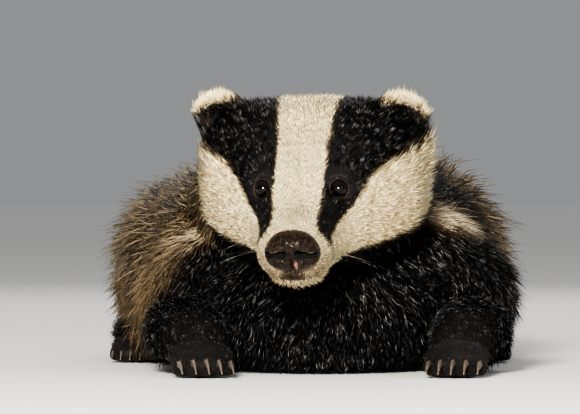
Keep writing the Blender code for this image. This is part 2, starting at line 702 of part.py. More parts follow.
def make_hind_leg(side, word, draw):
    haunch_form, shank_form = CoreForm(TubeForm(HAUNCH, side), "haunch"), TubeForm(SHANK, side)
    haunch = tube_loft("haunch_" + word, haunch_form, *HAUNCH_RINGS, colour="coat_grey")
    neighbours = [trunk_loft("trunk", LOCK_CLEARANCE, TRUNK_FORM),
                  tube_loft("shank", shank_form, *SHANK_RINGS, LOCK_CLEARANCE)]
    join(haunch, *locks("haunch", haunch_form, neighbours, draw, toward=-1, middle=side * HAUNCH_OUTSIDE))
    cut(haunch, trunk_loft("trunk", GAP))
    finish(haunch, "coat_grey", True)
    shank = tube_loft("hind_leg_" + word, shank_form, *SHANK_RINGS)
    cut(shank, tube_loft("haunch", haunch_form, *HAUNCH_RINGS, GAP), trunk_loft("trunk", GAP))
    finish(shank, "coat_black", True)


def make_tail(draw):
    tail = tube_loft("tail", TAIL_CORE, *TAIL_RINGS, colour="coat_grey")
    neighbours = [trunk_loft("trunk", LOCK_CLEARANCE, TRUNK_FORM)]
    join(tail, *locks("tail", TAIL_CORE, neighbours, draw))
    cut(tail, trunk_loft("trunk", GAP))
    finish(tail, "coat_grey", True)


def paw_matrix(sizes, side, shift):
    x, y = sizes["place"]
    turn = Matrix.Rotation(side * math.radians(sizes["turn"]), 4, "Z")
    return Matrix.Translation((side * x - (shift if side < 0 else 0), y, 0)) @ turn


def paw_hull(sizes, side, grow):
    """A rough hull round a paw and its claws, which locks keep clear of."""
    width, length, height, claw_length = (sizes[key] for key in ("width", "length", "height", "claw"))
    half = (width * 0.55 + grow, (length + claw_length) * 0.68 + grow, height * 0.65 + grow)
    return ellipsoid("paw_hull", (0, -claw_length * 0.4, height * 0.42), half, None, paw_matrix(sizes, side, 0.0))


def toe_places(sizes):
    """Across, forward and radius of each toe's middle, in the paw's frame, which heads along -Y."""
    for i in range(TOES):
        share = (i - (TOES - 1) / 2) / ((TOES - 1) / 2)
        across = share * (sizes["width"] / 2 - sizes["toe"])
        forward = sizes["length"] / 2 - TOE_ARC * sizes["width"] * share**2 * 0.6
        yield i, across, forward, sizes["toe"] * (1.08 - 0.16 * share**2)


def claw_points(sizes, across, forward, radius, grow):
    """Rings of a claw that leaves the toe forwards and curves down to a point just off the floor."""
    rings, segments = 4, 5
    angle = (np.arange(segments) + 0.3) * 2 * math.pi / segments  # off the toe's own edges
    top, length = radius * 1.05, sizes["claw"] * 0.97
    ends = {0: -grow, rings - 1: grow}
    for i in range(rings):
        s = i / (rings - 1)
        thick = sizes["claw_root"] * (1 - 0.82 * s) + grow
        out = forward + radius * 0.35 + s * length + ends.get(i, 0.0)
        height = top + 0.10 * length * math.sin(math.pi * s * 0.75) - (top - CLAW_TIP) * s**1.7
        wide, tall = thick * 0.72, thick * (1.25 - 0.25 * s)
        yield [(across + wide * math.sin(a), -out, height + tall * math.cos(a)) for a in angle]


def claw(name, sizes, place, across, forward, radius, grow=0.0):
    return skin(name, claw_points(sizes, across, forward, radius, grow), "claw", place)


def make_paw(name, sizes, side, shift, leg_form, leg_rings):
    place = paw_matrix(sizes, side, shift)
    width, length, height = sizes["width"], sizes["length"], sizes["height"]
    palm = (width * 0.48, length * 0.62, height * 0.58)
    paw = ellipsoid(name, (0, 0, height * 0.42), palm, None, place, 12, 8)
    toes = [ellipsoid("toe", (across, -forward, radius * 0.9), [radius * share for share in TOE_SHAPE], None,
                      place, 8, 6) for i, across, forward, radius in toe_places(sizes)]
    join(paw, *toes)
    claws = [claw("socket", sizes, place, across, forward, radius, GAP)
             for i, across, forward, radius in toe_places(sizes)]
    cut(paw, *claws)
    cut(paw, tube_loft("leg", leg_form, *leg_rings, GAP), trunk_loft("trunk", GAP))
    finish(paw, "coat_black", True)
    for i, across, forward, radius in toe_places(sizes):
        claw_name = f"{name.replace('paw', 'claw')}_{i + 1}"
        finish(claw(claw_name, sizes, place, across, forward, radius), "claw")


def build_badger():
    clear_scene()
    root = bpy.data.objects.new(PARENT, None)
    bpy.context.scene.collection.objects.link(root)
    draw = random.Random(COAT_SEED)
    make_head()
    make_nose()
    make_trunk(draw)
    make_neck(draw)
    make_tail(draw)
    for side, word in ((1, "left"), (-1, "right")):
        make_ear("ear_" + word, side)
        make_foreleg(side, word)
        make_hind_leg(side, word, draw)
        shift = arm_shift(side)
        make_paw("fore_paw_" + word, FORE_PAW, side, shift, TubeForm(FOREARM, side, shift), FOREARM_RINGS)
        make_paw("hind_paw_" + word, HIND_PAW, side, 0.0, TubeForm(SHANK, side), SHANK_RINGS)


build_badger()
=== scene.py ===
# European badger, life size, lying with its head up: skin, coat, eyes, nose, claws, floor and light.
# The forms below are those of the solids, so the skin lies inside them by the depth of the coat.
import math
import random

import bmesh
import bpy
import numpy as np
from mathutils import Matrix, Vector
from mathutils.bvhtree import BVHTree


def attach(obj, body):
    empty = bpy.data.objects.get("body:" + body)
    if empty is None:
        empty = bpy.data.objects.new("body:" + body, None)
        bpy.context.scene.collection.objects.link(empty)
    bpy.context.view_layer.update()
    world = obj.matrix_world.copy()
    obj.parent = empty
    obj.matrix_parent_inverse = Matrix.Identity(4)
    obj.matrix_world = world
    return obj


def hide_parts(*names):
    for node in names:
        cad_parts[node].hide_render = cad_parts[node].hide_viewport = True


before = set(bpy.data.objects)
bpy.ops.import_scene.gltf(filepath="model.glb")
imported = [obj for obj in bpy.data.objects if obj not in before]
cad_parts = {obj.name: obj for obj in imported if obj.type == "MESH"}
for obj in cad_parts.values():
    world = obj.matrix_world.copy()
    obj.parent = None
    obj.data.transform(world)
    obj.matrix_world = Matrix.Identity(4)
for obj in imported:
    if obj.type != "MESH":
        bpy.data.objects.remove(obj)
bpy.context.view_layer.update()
print("frame loaded")

# the body's forms

# trunk rows: y, middle x, half width, top, height of the widest line, squareness, and the share by which
# the back is higher on the animal's left
trunkForm = {
    "rows": (
        (-0.218, 0.004, 0.03, 0.062, 0.036, 2.1, 0), (-0.2, 0.004, 0.066, 0.09, 0.04, 2.2, 0),
        (-0.16, 0.004, 0.094, 0.122, 0.046, 2.2, 0), (-0.105, 0.003, 0.112, 0.145, 0.05, 2.3, 0),
        (-0.03, 0, 0.126, 0.149, 0.053, 2.7, 0.1), (0.05, -0.001, 0.133, 0.15, 0.055, 3.0, 0.15),
        (0.13, -0.002, 0.133, 0.149, 0.055, 3.0, 0.15), (0.2, -0.002, 0.122, 0.142, 0.052, 2.7, 0.1),
        (0.25, -0.004, 0.102, 0.124, 0.048, 2.4, 0.05), (0.285, -0.006, 0.066, 0.094, 0.044, 2.2, 0),
        (0.302, -0.007, 0.024, 0.062, 0.04, 2.0, 0)),
    "drop": 0.004,
    "depth": ((-0.218, 0.012), (-0.112, 0.015), (-0.04, 0.024), (0.2, 0.026), (0.302, 0.02)),
}
# head rows: forward, half width, top, bottom, widest height, squareness above and below
headForm = {
    "rows": (
        (0.086, 0.0165, 0.0085, -0.018, -0.004, 2.2, 2.1),
        (0.08, 0.0218, 0.0128, -0.0255, -0.005, 2.2, 2.1),
        (0.07, 0.0242, 0.0158, -0.03, -0.006, 2.2, 2.1),
        (0.055, 0.0265, 0.019, -0.033, -0.007, 2.3, 2.1),
        (0.04, 0.032, 0.0245, -0.037, -0.007, 2.3, 2.1),
        (0.025, 0.043, 0.032, -0.042, -0.007, 2.4, 2.2),
        (0.01, 0.057, 0.0405, -0.047, -0.007, 2.5, 2.4),
        (-0.008, 0.0695, 0.048, -0.052, -0.006, 2.8, 2.6),
        (-0.025, 0.0735, 0.0535, -0.054, -0.006, 3.0, 2.6),
        (-0.045, 0.071, 0.0535, -0.053, -0.005, 3.0, 2.5),
        (-0.062, 0.061, 0.046, -0.048, -0.004, 2.6, 2.3),
        (-0.074, 0.04, 0.031, -0.034, -0.004, 2.2, 2.2),
        (-0.079, 0.018, 0.012, -0.018, -0.004, 2.0, 2.0)),
    "depth": ((-0.079, 0.009), (-0.045, 0.0085), (-0.015, 0.0075), (0.01, 0.0055), (0.03, 0.0036),
              (0.045, 0.0028), (0.086, 0.0022)),
    "place": (-0.002, -0.245, 0.112), "pitch": 23.5, "yaw": -8, "thinner": 0.12,  # coat thinner at the sides
}
noseForm = {
    "rows": (
        (0.093, 0.009, 0.005, -0.008, -0.002, 2.2, 2.2),
        (0.0915, 0.0128, 0.0082, -0.0106, -0.002, 2.3, 2.2),
        (0.088, 0.0156, 0.0104, -0.0124, -0.002, 2.4, 2.2),
        (0.083, 0.0166, 0.0114, -0.013, -0.002, 2.4, 2.2),
        (0.078, 0.015, 0.0104, -0.012, -0.002, 2.3, 2.2),
        (0.074, 0.011, 0.007, -0.009, -0.002, 2.2, 2.2)),
}
# neck, limbs and tail: x, y, z, half width, half height, squareness
tubeForms = {
    "neck": {"rows": (
        (0, -0.214, 0.116, 0.052, 0.046, 2.3), (0, -0.19, 0.113, 0.071, 0.056, 2.4),
        (0.001, -0.15, 0.105, 0.084, 0.06, 2.4), (0.002, -0.11, 0.096, 0.092, 0.061, 2.4),
        (0.002, -0.06, 0.086, 0.088, 0.057, 2.3)), "depth": ((0, 0.011), (0.5, 0.017), (1, 0.022))},
    "arm": {"rows": (
        (0.05, -0.134, 0.094, 0.024, 0.022, 2.0), (0.06, -0.14, 0.082, 0.037, 0.04, 2.1),
        (0.083, -0.148, 0.057, 0.04, 0.043, 2.2), (0.1, -0.15, 0.034, 0.034, 0.038, 2.2),
        (0.103, -0.15, 0.016, 0.026, 0.028, 2.2)), "depth": ((0, 0.01), (1, 0.007))},
    "forearm": {"rows": (
        (0.102, -0.15, 0.029, 0.027, 0.03, 2.1), (0.1, -0.19, 0.026, 0.029, 0.028, 2.2),
        (0.095, -0.228, 0.022, 0.025, 0.024, 2.3), (0.09, -0.252, 0.019, 0.022, 0.019, 2.3),
        (0.088, -0.262, 0.017, 0.016, 0.014, 2.2)), "depth": ((0, 0.009), (0.6, 0.006), (1, 0.004))},
    "haunch": {"rows": (
        (0.06, 0.25, 0.066, 0.022, 0.03, 2.1), (0.078, 0.226, 0.062, 0.044, 0.054, 2.2),
        (0.09, 0.18, 0.058, 0.052, 0.064, 2.3), (0.096, 0.135, 0.051, 0.046, 0.056, 2.3),
        (0.101, 0.102, 0.041, 0.036, 0.043, 2.2), (0.104, 0.084, 0.033, 0.02, 0.024, 2.1)),
        "depth": ((0, 0.016), (0.6, 0.017), (1, 0.01))},
    "shank": {"rows": (
        (0.1, 0.14, 0.022, 0.018, 0.016, 2.2), (0.108, 0.11, 0.021, 0.022, 0.019, 2.3),
        (0.114, 0.075, 0.018, 0.021, 0.016, 2.3), (0.1155, 0.05, 0.016, 0.015, 0.013, 2.2)),
        "depth": ((0, 0.006), (1, 0.004))},
    "tail": {"rows": (
        (-0.006, 0.262, 0.05, 0.024, 0.026, 2.1), (-0.007, 0.292, 0.044, 0.033, 0.033, 2.1),
        (-0.01, 0.33, 0.034, 0.034, 0.033, 2.2), (-0.016, 0.375, 0.028, 0.032, 0.031, 2.2),
        (-0.026, 0.415, 0.022, 0.024, 0.024, 2.1), (-0.032, 0.438, 0.017, 0.01, 0.01, 2.0)),
        "depth": ((0, 0.014), (0.5, 0.019), (0.8, 0.016), (1, 0.006))},
}
rightArmShift = -0.021  # the animal's right arm is held closer in
paws = {
    "fore": {"place": (0.0885, -0.268), "turn": -6, "length": 0.044, "width": 0.046, "height": 0.026,
             "toe": 0.0075},
    "hind": {"place": (0.116, 0.044), "turn": 4, "length": 0.046, "width": 0.038, "height": 0.022,
             "toe": 0.0063},
}
toeArc = 0.30
pawDepth = 0.0022
eyeShape = {"place": (0.0222, 0.029, 0.0156), "radius": 0.0064, "gaze": (0.38, 0.84, 0.38)}
earShape = {"place": (0.0562, -0.039, 0.033), "leftShift": (-0.0038, 0.0, -0.001),
            "size": (0.0178, 0.0088, 0.0205), "cupSize": (0.0122, 0.009, 0.015), "cupShift": 0.0072,
            "lean": 20, "turn": 14, "flare": 0.26, "top": 0.84, "slope": 0.1, "corner": 0.0010}
# the line of the mouth: place along the head, height
mouthLine = ((0.09, -0.0185), (0.08, -0.0205), (0.07, -0.0215), (0.058, -0.0225), (0.044, -0.0235),
             (0.036, -0.0225))


def smoothTable(rows, at):
    rows = np.array(rows, float)
    if rows[0, 0] > rows[-1, 0]:
        rows = rows[::-1]
    x, y = rows[:, 0], rows[:, 1:]
    slope = np.diff(y, axis=0) / np.diff(x)[:, None]
    before, after = slope[:-1], slope[1:]
    harmonic = 2 * before * after / np.where(before == -after, 1, before + after)
    tangent = np.vstack([slope[:1], np.where(before * after > 0, harmonic, 0), slope[-1:]])
    at = np.clip(np.asarray(at, float), x[0], x[-1])
    i = np.clip(np.searchsorted(x, at, side="right") - 1, 0, len(x) - 2)
    h = (x[i + 1] - x[i])[..., None]
    s = (at - x[i])[..., None] / h
    return ((2 * s**3 - 3 * s**2 + 1) * y[i] + (s**3 - 2 * s**2 + s) * h * tangent[i]
            + (3 * s**2 - 2 * s**3) * y[i + 1] + (s**3 - s**2) * h * tangent[i + 1])


def ovalPoint(angle, side, up, down, squareUp, squareDown):
    sine, cosine = np.sin(angle), np.cos(angle)
    power = 2 / np.where(cosine >= 0, squareUp, squareDown)
    out = side * np.sign(sine) * np.abs(sine) ** power
    return out, np.where(cosine >= 0, up, down) * np.sign(cosine) * np.abs(cosine) ** power


def columns(rows, at):
    return np.moveaxis(smoothTable(rows, at), -1, 0)


def turnBy(degrees, axis):
    return Matrix.Rotation(math.radians(degrees), 4, axis)


def placed(points, matrix):
    return points @ np.array(matrix.to_3x3()).T + np.array(matrix.translation)


headTurn = turnBy(headForm["yaw"], "Z") @ turnBy(headForm["pitch"], "X")
headPlace = Matrix.Translation(headForm["place"]) @ headTurn @ Matrix.Diagonal((1, -1, 1, 1))


def toHead(points):
    return placed(points, headPlace.inverted())


def trunkPoint(along, angle):
    x, side, top, widest, square, tilt = columns(trunkForm["rows"], along)
    depth = columns(trunkForm["depth"], along)[0]
    under = widest - trunkForm["drop"]  # the belly's coat is pressed flat
    out, height = ovalPoint(angle, side - depth, top - widest - depth, under, square, square)
    height = np.where(height > 0, height * (1 + tilt * out / side), height)
    return np.stack([x + out, np.broadcast_to(along, out.shape), widest + height], -1)


def headPoint(along, angle, form=headForm):
    side, top, bottom, widest, squareUp, squareDown = columns(form["rows"], along)
    depth = columns(form["depth"], along)[0] if "depth" in form else 0.0
    depth = depth * (1 - headForm["thinner"] * np.sin(angle) ** 2)
    out, height = ovalPoint(angle, side - depth, top - widest - depth, widest - bottom - depth,
                            squareUp, squareDown)
    return np.stack([out, np.broadcast_to(along, out.shape), widest + height], -1)


def tubePoint(form, mirror=1, shift=0.0):
    rows = np.array(form["rows"], float)
    rows[:, 0] = rows[:, 0] * mirror - shift * (mirror < 0)
    tangent = rows[-1, :3] - rows[0, :3]
    share = (rows[:, :3] - rows[0, :3]) @ tangent / (tangent @ tangent)
    table = np.column_stack([share, rows])
    tangent /= np.linalg.norm(tangent)
    right = np.array((1.0, 0.0, 0.0)) - tangent[0] * tangent
    right /= np.linalg.norm(right)
    up = np.cross(right, tangent)
    up *= 1 if up[2] > 0 else -1

    def point(along, angle):
        x, y, z, side, tall, square = columns(table, along)
        depth = np.minimum(columns(form["depth"], along)[0], 0.75 * np.minimum(side, tall))
        out, height = ovalPoint(angle, side - depth, tall - depth, tall - depth, square, square)
        return np.stack([x, y, z], -1) + right * out[..., None] + up * height[..., None]

    return point


def linked(name, data):
    made = bpy.data.objects.new(name, data)
    bpy.context.scene.collection.objects.link(made)
    return made


def meshObject(name, points, faces):
    mesh = bpy.data.meshes.new(name)
    mesh.from_pydata([tuple(p) for p in points], [], faces)
    mesh.update()
    return linked(name, mesh)


def bmeshObject(name, bm):
    mesh = bpy.data.meshes.new(name)
    bm.to_mesh(mesh)
    bm.free()
    return linked(name, mesh)


def normalsOut(obj):
    bm = bmesh.new()
    bm.from_mesh(obj.data)
    bmesh.ops.recalc_face_normals(bm, faces=bm.faces)
    bm.to_mesh(obj.data)
    bm.free()
    return obj


def ringFaces(rings, segments):  # quads between rings of points, and a face on each end
    faces = []
    for ring in range(rings - 1):
        for i in range(segments):
            first, second = ring * segments + i, ring * segments + (i + 1) % segments
            faces.append((first, second, second + segments, first + segments))
    return faces + [tuple(range(segments)), tuple((rings - 1) * segments + i for i in range(segments))]


def loft(name, point, start, end, rings, segments, place=None):
    t = np.linspace(0, 1, rings)
    along = start + (end - start) * (0.35 * t + 0.65 * (1 - np.cos(math.pi * t)) / 2)  # closer at the ends
    angle = (np.arange(segments) + 0.5) * 2 * math.pi / segments
    points = point(np.repeat(along[:, None], segments, 1), np.repeat(angle[None], rings, 0))
    if place is not None:
        points = placed(points, place)
    return normalsOut(meshObject(name, points.reshape(-1, 3), ringFaces(rings, segments)))


def ellipsoid(name, centre, size, turn=None, place=None, segments=28, rings=18):
    bm = bmesh.new()
    bmesh.ops.create_uvsphere(bm, u_segments=segments, v_segments=rings, radius=1)
    own = Matrix.Translation(centre) @ (turn or Matrix.Identity(4)) @ Matrix.Diagonal((*size, 1))
    bm.transform((place or Matrix.Identity(4)) @ own)
    bm.normal_update()
    bmesh.ops.recalc_face_normals(bm, faces=bm.faces)
    return bmeshObject(name, bm)


def applied(obj, name, kind, **settings):  # one modifier, applied by evaluation
    step = obj.modifiers.new(name, kind)
    for key, value in settings.items():
        setattr(step, key, value)
    made = bpy.data.meshes.new_from_object(obj.evaluated_get(bpy.context.evaluated_depsgraph_get()))
    obj.modifiers.clear()
    obj.data = made
    return obj


def cutBy(obj, tool):
    applied(obj, "cut", "BOOLEAN", operation="DIFFERENCE", solver="MANIFOLD", object=tool)
    bpy.data.objects.remove(tool)
    return obj


def joined(name, objects):
    bm = bmesh.new()
    for obj in objects:
        bm.from_mesh(obj.data)
        bpy.data.objects.remove(obj)
    return bmeshObject(name, bm)


def pawPlace(sizes, side):
    x, y = sizes["place"]
    shift = rightArmShift if side < 0 and sizes is paws["fore"] else 0.0
    return Matrix.Translation((side * x - shift, y, 0)) @ turnBy(side * sizes["turn"], "Z")


def toePlaces(sizes):  # across, forward and radius of the five toes
    for share in (-1.0, -0.5, 0.0, 0.5, 1.0):
        yield (share * (sizes["width"] / 2 - sizes["toe"]),
               sizes["length"] / 2 - toeArc * sizes["width"] * share**2 * 0.6,
               sizes["toe"] * (1.08 - 0.16 * share**2))


def earPlace(side):
    x, y, z = earShape["place"]
    if side > 0:
        x, y, z = (a + b for a, b in zip((x, y, z), earShape["leftShift"]))
    lean, turn = turnBy(side * earShape["lean"], "Y"), turnBy(-side * earShape["turn"], "Z")
    return headPlace @ Matrix.Translation((side * x, y, z)) @ lean @ turn


def makeEar(side):
    ear = ellipsoid("ear", (0, 0, 0), earShape["size"])
    ear = cutBy(ear, ellipsoid("cup", (0, earShape["cupShift"], 0.001), earShape["cupSize"]))
    wide, _, tall = earShape["size"]
    for v in ear.data.vertices:  # broad and flat at the top, drawn out and lower at the outer corner
        if v.co.z > 0:
            share, outer = v.co.z / tall, side * v.co.x / wide
            v.co.x += side * share * (earShape["flare"] * wide * outer + earShape["corner"])
            v.co.z *= earShape["top"] - earShape["slope"] * outer
    ear.data.transform(earPlace(side))
    return normalsOut(ear)


# the skin: every form at skin level, made one by a remesh, then smoothed

skinMesh = {
    "voxel": 0.003, "smoothing": 12, "rate": 0.62, "faceKept": 0.85, "floor": 0.0012,
    # how far round the eyes each refinement reaches, and whether it takes the lips too
    "finer": ((0.024, True), (0.0135, True), (0.0098, False)), "lipReach": 0.005, "lipsFrom": 0.034,
}
formDetail = {"head": (60, 64), "trunk": (70, 72), "neck": (30, 56), "tail": (34, 36), "limb": (26, 32)}
headEnds, trunkEnds = (-0.079, 0.086), (-0.218, 0.302)


def formPieces():
    pieces = [("head", loft("head", headPoint, *headEnds, *formDetail["head"], headPlace)),
              ("trunk", loft("trunk", trunkPoint, *trunkEnds, *formDetail["trunk"]))]
    for part in ("neck", "tail"):
        pieces.append((part, loft(part, tubePoint(tubeForms[part]), 0, 1, *formDetail[part])))
    for side, word in ((1, "Left"), (-1, "Right")):
        for part in ("arm", "forearm", "haunch", "shank"):
            shift = rightArmShift if "arm" in part else 0.0
            limb = tubePoint(tubeForms[part], side, shift)
            pieces.append((part + word, loft(part, limb, 0, 1, *formDetail["limb"])))
        pieces.append(("ear" + word, makeEar(side)))
        for kind, sizes in paws.items():
            place, name = pawPlace(sizes, side), kind + "Paw" + word
            width, length, height = (sizes[key] for key in ("width", "length", "height"))
            palm = [width * 0.48 - pawDepth, length * 0.56 - pawDepth, height * 0.52 - pawDepth]
            pieces.append((name, ellipsoid("palm", (0, 0, height * 0.44), palm, None, place)))
            for across, forward, radius in toePlaces(sizes):
                toe = [radius * 0.78 - 0.0012, radius * 2.0 - 0.0012, radius * 1.14 - 0.0014]
                pieces.append((name, ellipsoid("toe", (across, -forward, radius * 0.95), toe, None, place)))
    return pieces


def fetched(items, key, width, kind=float):
    values = np.empty(len(items) * width, kind)
    items.foreach_get(key, values)
    return values.reshape(-1, width)


def meshArrays(mesh):  # points, edges, and how many edges meet at each point
    co, edges = fetched(mesh.vertices, "co", 3), fetched(mesh.edges, "vertices", 2, int)
    return co, edges, np.maximum(np.bincount(edges.ravel(), minlength=len(co)), 1)


def setPoints(mesh, co):
    mesh.vertices.foreach_set("co", co.ravel())
    mesh.update()


def store(obj, name, data, kind="FLOAT", domain="POINT"):
    made = obj.data.attributes.new(name, kind, domain)
    values = np.ascontiguousarray(data, np.int32 if kind == "INT" else float)
    made.data.foreach_set("vector" if kind == "FLOAT_VECTOR" else "value", values.ravel())


def relaxed(values, edges, count, rounds, rate):  # each value goes towards the mean of its neighbours
    start, end = edges.T
    for i in range(rounds):
        sums = [np.bincount(start, column[end], len(values)) + np.bincount(end, column[start], len(values))
                for column in values.T]
        values = values + (np.column_stack(sums) / count[:, None] - values) * rate(i)
    return values


def ease(value, low, high):  # 0 at low, 1 at high, smooth between
    t = np.clip((value - low) / (high - low), 0, 1)
    return t * t * (3 - 2 * t)


def hump(value, width):
    return np.exp(-(value / width) ** 2)


def treeOf(obj):
    bm = bmesh.new()
    bm.from_mesh(obj.data)
    tree = BVHTree.FromBMesh(bm)
    bm.free()
    return tree


def gazeFrame(side):
    gaze = np.array([side * eyeShape["gaze"][0], eyeShape["gaze"][1], eyeShape["gaze"][2]])
    gaze /= np.linalg.norm(gaze)
    across = np.cross(gaze, (0, 0, 1)) * side  # towards the nose on both sides
    across /= -np.linalg.norm(across)
    up = np.cross(across, gaze) * side
    up *= 1 if up[2] > 0 else -1
    centre = np.array([side * eyeShape["place"][0], *eyeShape["place"][1:]])
    return centre, gaze, across, up


eyelids = {"shell": 0.00725, "halfLength": 0.0062, "halfHeight": 0.0055, "tilt": 0.14, "blend": 0.003,
           "reach": 0.015, "sunk": 0.0014, "crease": 0.0005}


def lidOpening(local, side):  # below 1 inside the almond that the lids leave, with places round the gaze
    centre, gaze, across, up = gazeFrame(side)
    offset = local - centre
    x, y, h = offset @ across, offset @ up, offset @ gaze
    turn = eyelids["tilt"]
    x, y = x * math.cos(turn) - y * math.sin(turn), x * math.sin(turn) + y * math.cos(turn)
    lens = eyelids["halfHeight"] * np.clip(1 - (x / eyelids["halfLength"]) ** 2, 0.01, 1) ** 0.6
    opening = np.where(np.abs(x) < eyelids["halfLength"] * 0.995, np.abs(y) / lens, 3.0)
    return opening, x, y, h, gaze


def shapeEyes(local):
    for side in (-1, 1):
        opening, x, y, h, gaze = lidOpening(local, side)
        rho = np.hypot(x, y)
        near = (rho < eyelids["reach"]) & (h > -0.006) & (h < 0.016)
        shell = np.sqrt(np.maximum(eyelids["shell"] ** 2 - rho**2, 0)) - 0.5 * np.maximum(rho - 0.0062, 0)
        mix = np.clip(0.5 + 0.5 * (h - shell) / eyelids["blend"], 0, 1)  # a soft maximum of lid and face
        lid = shell + (h - shell) * mix + eyelids["blend"] * mix * (1 - mix)
        lid -= eyelids["crease"] * np.exp(-((rho - 0.0078) / 0.0007) ** 2) * (y > -0.001)
        ball = np.sqrt(np.maximum(eyeShape["radius"] ** 2 - rho**2, 0)) - eyelids["sunk"]
        target = lid + (ball - lid) * (1 - ease(opening, 0.86, 1.1))
        local = np.where(near[:, None], local + gaze * (target - h)[:, None], local)
    return local


mouthShape = {"depth": 0.0016, "width": 0.001, "lip": 0.0005, "lipOff": 0.0024, "lipWidth": 0.0013,
              "hidden": 0.85}
padShape = {"crease": 0.0664, "creaseDepth": 0.0006, "creaseWidth": 0.0024,
            "pad": 0.075, "padRise": 0.0011, "padWidth": 0.0055}


def eyeDistance(local):
    return np.min([np.linalg.norm(local - gazeFrame(side)[0], axis=1) for side in (-1, 1)], axis=0)


def mouthDistance(local):
    at = smoothTable(mouthLine, local[:, 1])[:, 0]
    along = ease(local[:, 1], 0.036, 0.044) * (1 - ease(local[:, 1], 0.089, 0.092))
    return local[:, 2] - at, along


def refineFace(skin):  # finer faces on the face, and finer ones again round the eyes and lips
    bm = bmesh.new()
    bm.from_mesh(skin.data)
    for reach, lipsToo in skinMesh["finer"]:
        co = toHead(np.array([v.co for v in bm.verts]))
        lips = (np.abs(mouthDistance(co)[0]) < skinMesh["lipReach"]) & (co[:, 1] > skinMesh["lipsFrom"])
        wanted = (eyeDistance(co) < reach) | (lips & lipsToo)
        edges = [e for e in bm.edges if wanted[e.verts[0].index] and wanted[e.verts[1].index]]
        bmesh.ops.subdivide_edges(bm, edges=edges, cuts=1, use_grid_fill=True)
        bm.verts.index_update()
    bmesh.ops.triangulate(bm, faces=[f for f in bm.faces if len(f.verts) > 4])
    bm.to_mesh(skin.data)
    bm.free()


def makeSkin():
    pieces = formPieces()
    parts = [part for part, piece in pieces for _ in piece.data.polygons]
    skin = joined("skin", [piece for part, piece in pieces])
    formTree = treeOf(skin)

    def partsAt(co):
        return np.array([parts[formTree.find_nearest(p)[2]] for p in co])

    applied(skin, "remesh", "REMESH", mode="VOXEL", voxel_size=skinMesh["voxel"], adaptivity=0.0)
    print("skin remeshed:", len(skin.data.polygons), "faces")
    refineFace(skin)
    # the creases where forms meet are smoothed, and the paws and ears keep their shape
    co, edges, count = meshArrays(skin.data)
    near = np.linalg.norm(co - np.array(headPlace.translation), axis=1) < 0.13
    muzzle = ease(toHead(co)[:, 1], -0.03, 0.01) * near
    labels = partsAt(co)
    kept = (np.char.find(labels, "Paw") > 0) | partOf(labels, "ear")

    def rate(i):
        moved = np.where(kept & (i > 0), 0.0, skinMesh["rate"])
        return (moved * (1 - skinMesh["faceKept"] * muzzle * (i > 3)))[:, None]

    co = relaxed(co, edges, count, skinMesh["smoothing"], rate)
    # the face goes back to its own form
    headLoft = loft("headForm", headPoint, *headEnds, 110, 128, headPlace)
    headTree = treeOf(headLoft)
    bpy.data.objects.remove(headLoft)
    local = toHead(co)
    pull = ease(local[:, 1], -0.02, 0.006)
    for i in np.nonzero((pull > 0) & (np.abs(local[:, 0]) < 0.08) & (local[:, 2] > -0.06))[0]:
        nearest, normal, face, distance = headTree.find_nearest(co[i])
        if distance < 0.012:
            co[i] += (np.array(nearest) - co[i]) * pull[i]
    setPoints(skin.data, placed(shapeEyes(toHead(co)), headPlace))
    # the line of the mouth, with a lip above and below it, and the pads that carry the whiskers
    co, normals = fetched(skin.data.vertices, "co", 3), fetched(skin.data.vertex_normals, "vector", 3)
    local = toHead(co)
    across, forward, height = np.abs(local[:, 0]), local[:, 1], local[:, 2]
    distance, along = mouthDistance(local)
    along = along * (1 - mouthShape["hidden"] * ease(forward, 0.07, 0.08))  # hair hides it in front
    line = mouthShape["lip"] * hump(np.abs(distance) - mouthShape["lipOff"], mouthShape["lipWidth"])
    line -= mouthShape["depth"] * hump(distance, mouthShape["width"])
    sides = ease(across, 0.013, 0.018) * ease(0.004 - height, 0, 0.004) * ease(height, -0.021, -0.013)
    pads = padShape["padRise"] * hump(forward - padShape["pad"], padShape["padWidth"])
    pads -= padShape["creaseDepth"] * hump(forward - padShape["crease"], padShape["creaseWidth"])
    co = co + normals * (along * line + sides * pads)[:, None]
    co[:, 2] = np.maximum(co[:, 2], skinMesh["floor"])
    setPoints(skin.data, co)
    return skin, partsAt(co)


# what grows where: lie, length, rise, density and markings of the coat, kept on the skin

# by part: length, rise and density per square metre
coatTable = {
    "trunk": (0.052, 0.55, 190e3), "haunch": (0.041, 0.42, 180e3), "tail": (0.044, 0.5, 380e3),
    "neck": (0.036, 0.5, 420e3), "arm": (0.026, 0.5, 480e3), "forearm": (0.019, 0.5, 420e3),
    "shank": (0.015, 0.45, 380e3), "forePaw": (0.0075, 0.34, 620e3), "hindPaw": (0.0085, 0.34, 520e3),
    "ear": (0.0062, 0.42, 1300e3),
}
# by how much the coat gets shorter, and from where to where along -y
shorterAhead = {"forearm": (0.011, 0.17, 0.255), "forePaw": (0.0033, 0.25, 0.285),
                "hindPaw": (0.0055, -0.056, -0.022)}
# by part: which way the coat lies, out to the side, back and up
coatLie = {"tail": (0, 1, -0.15), "neck": (0, 1, -0.35), "haunch": (0.1, 0.75, -0.65), "shank": (0.15, -1, 0),
           "arm": (0.12, 0.15, -1), "forearm": (-0.1, -1, -0.25), "forePaw": (0, -1, -0.12),
           "hindPaw": (0, -1, -0.12)}
# head rows: place along the head, length, rise, density
headCoat = (
    (-0.079, 0.024, 0.5, 420e3), (-0.05, 0.019, 0.5, 560e3), (-0.02, 0.0155, 0.48, 800e3),
    (0.008, 0.011, 0.46, 1150e3), (0.03, 0.0072, 0.44, 1550e3), (0.05, 0.0054, 0.44, 1900e3),
    (0.07, 0.0045, 0.46, 2100e3), (0.088, 0.004, 0.5, 2200e3)
)
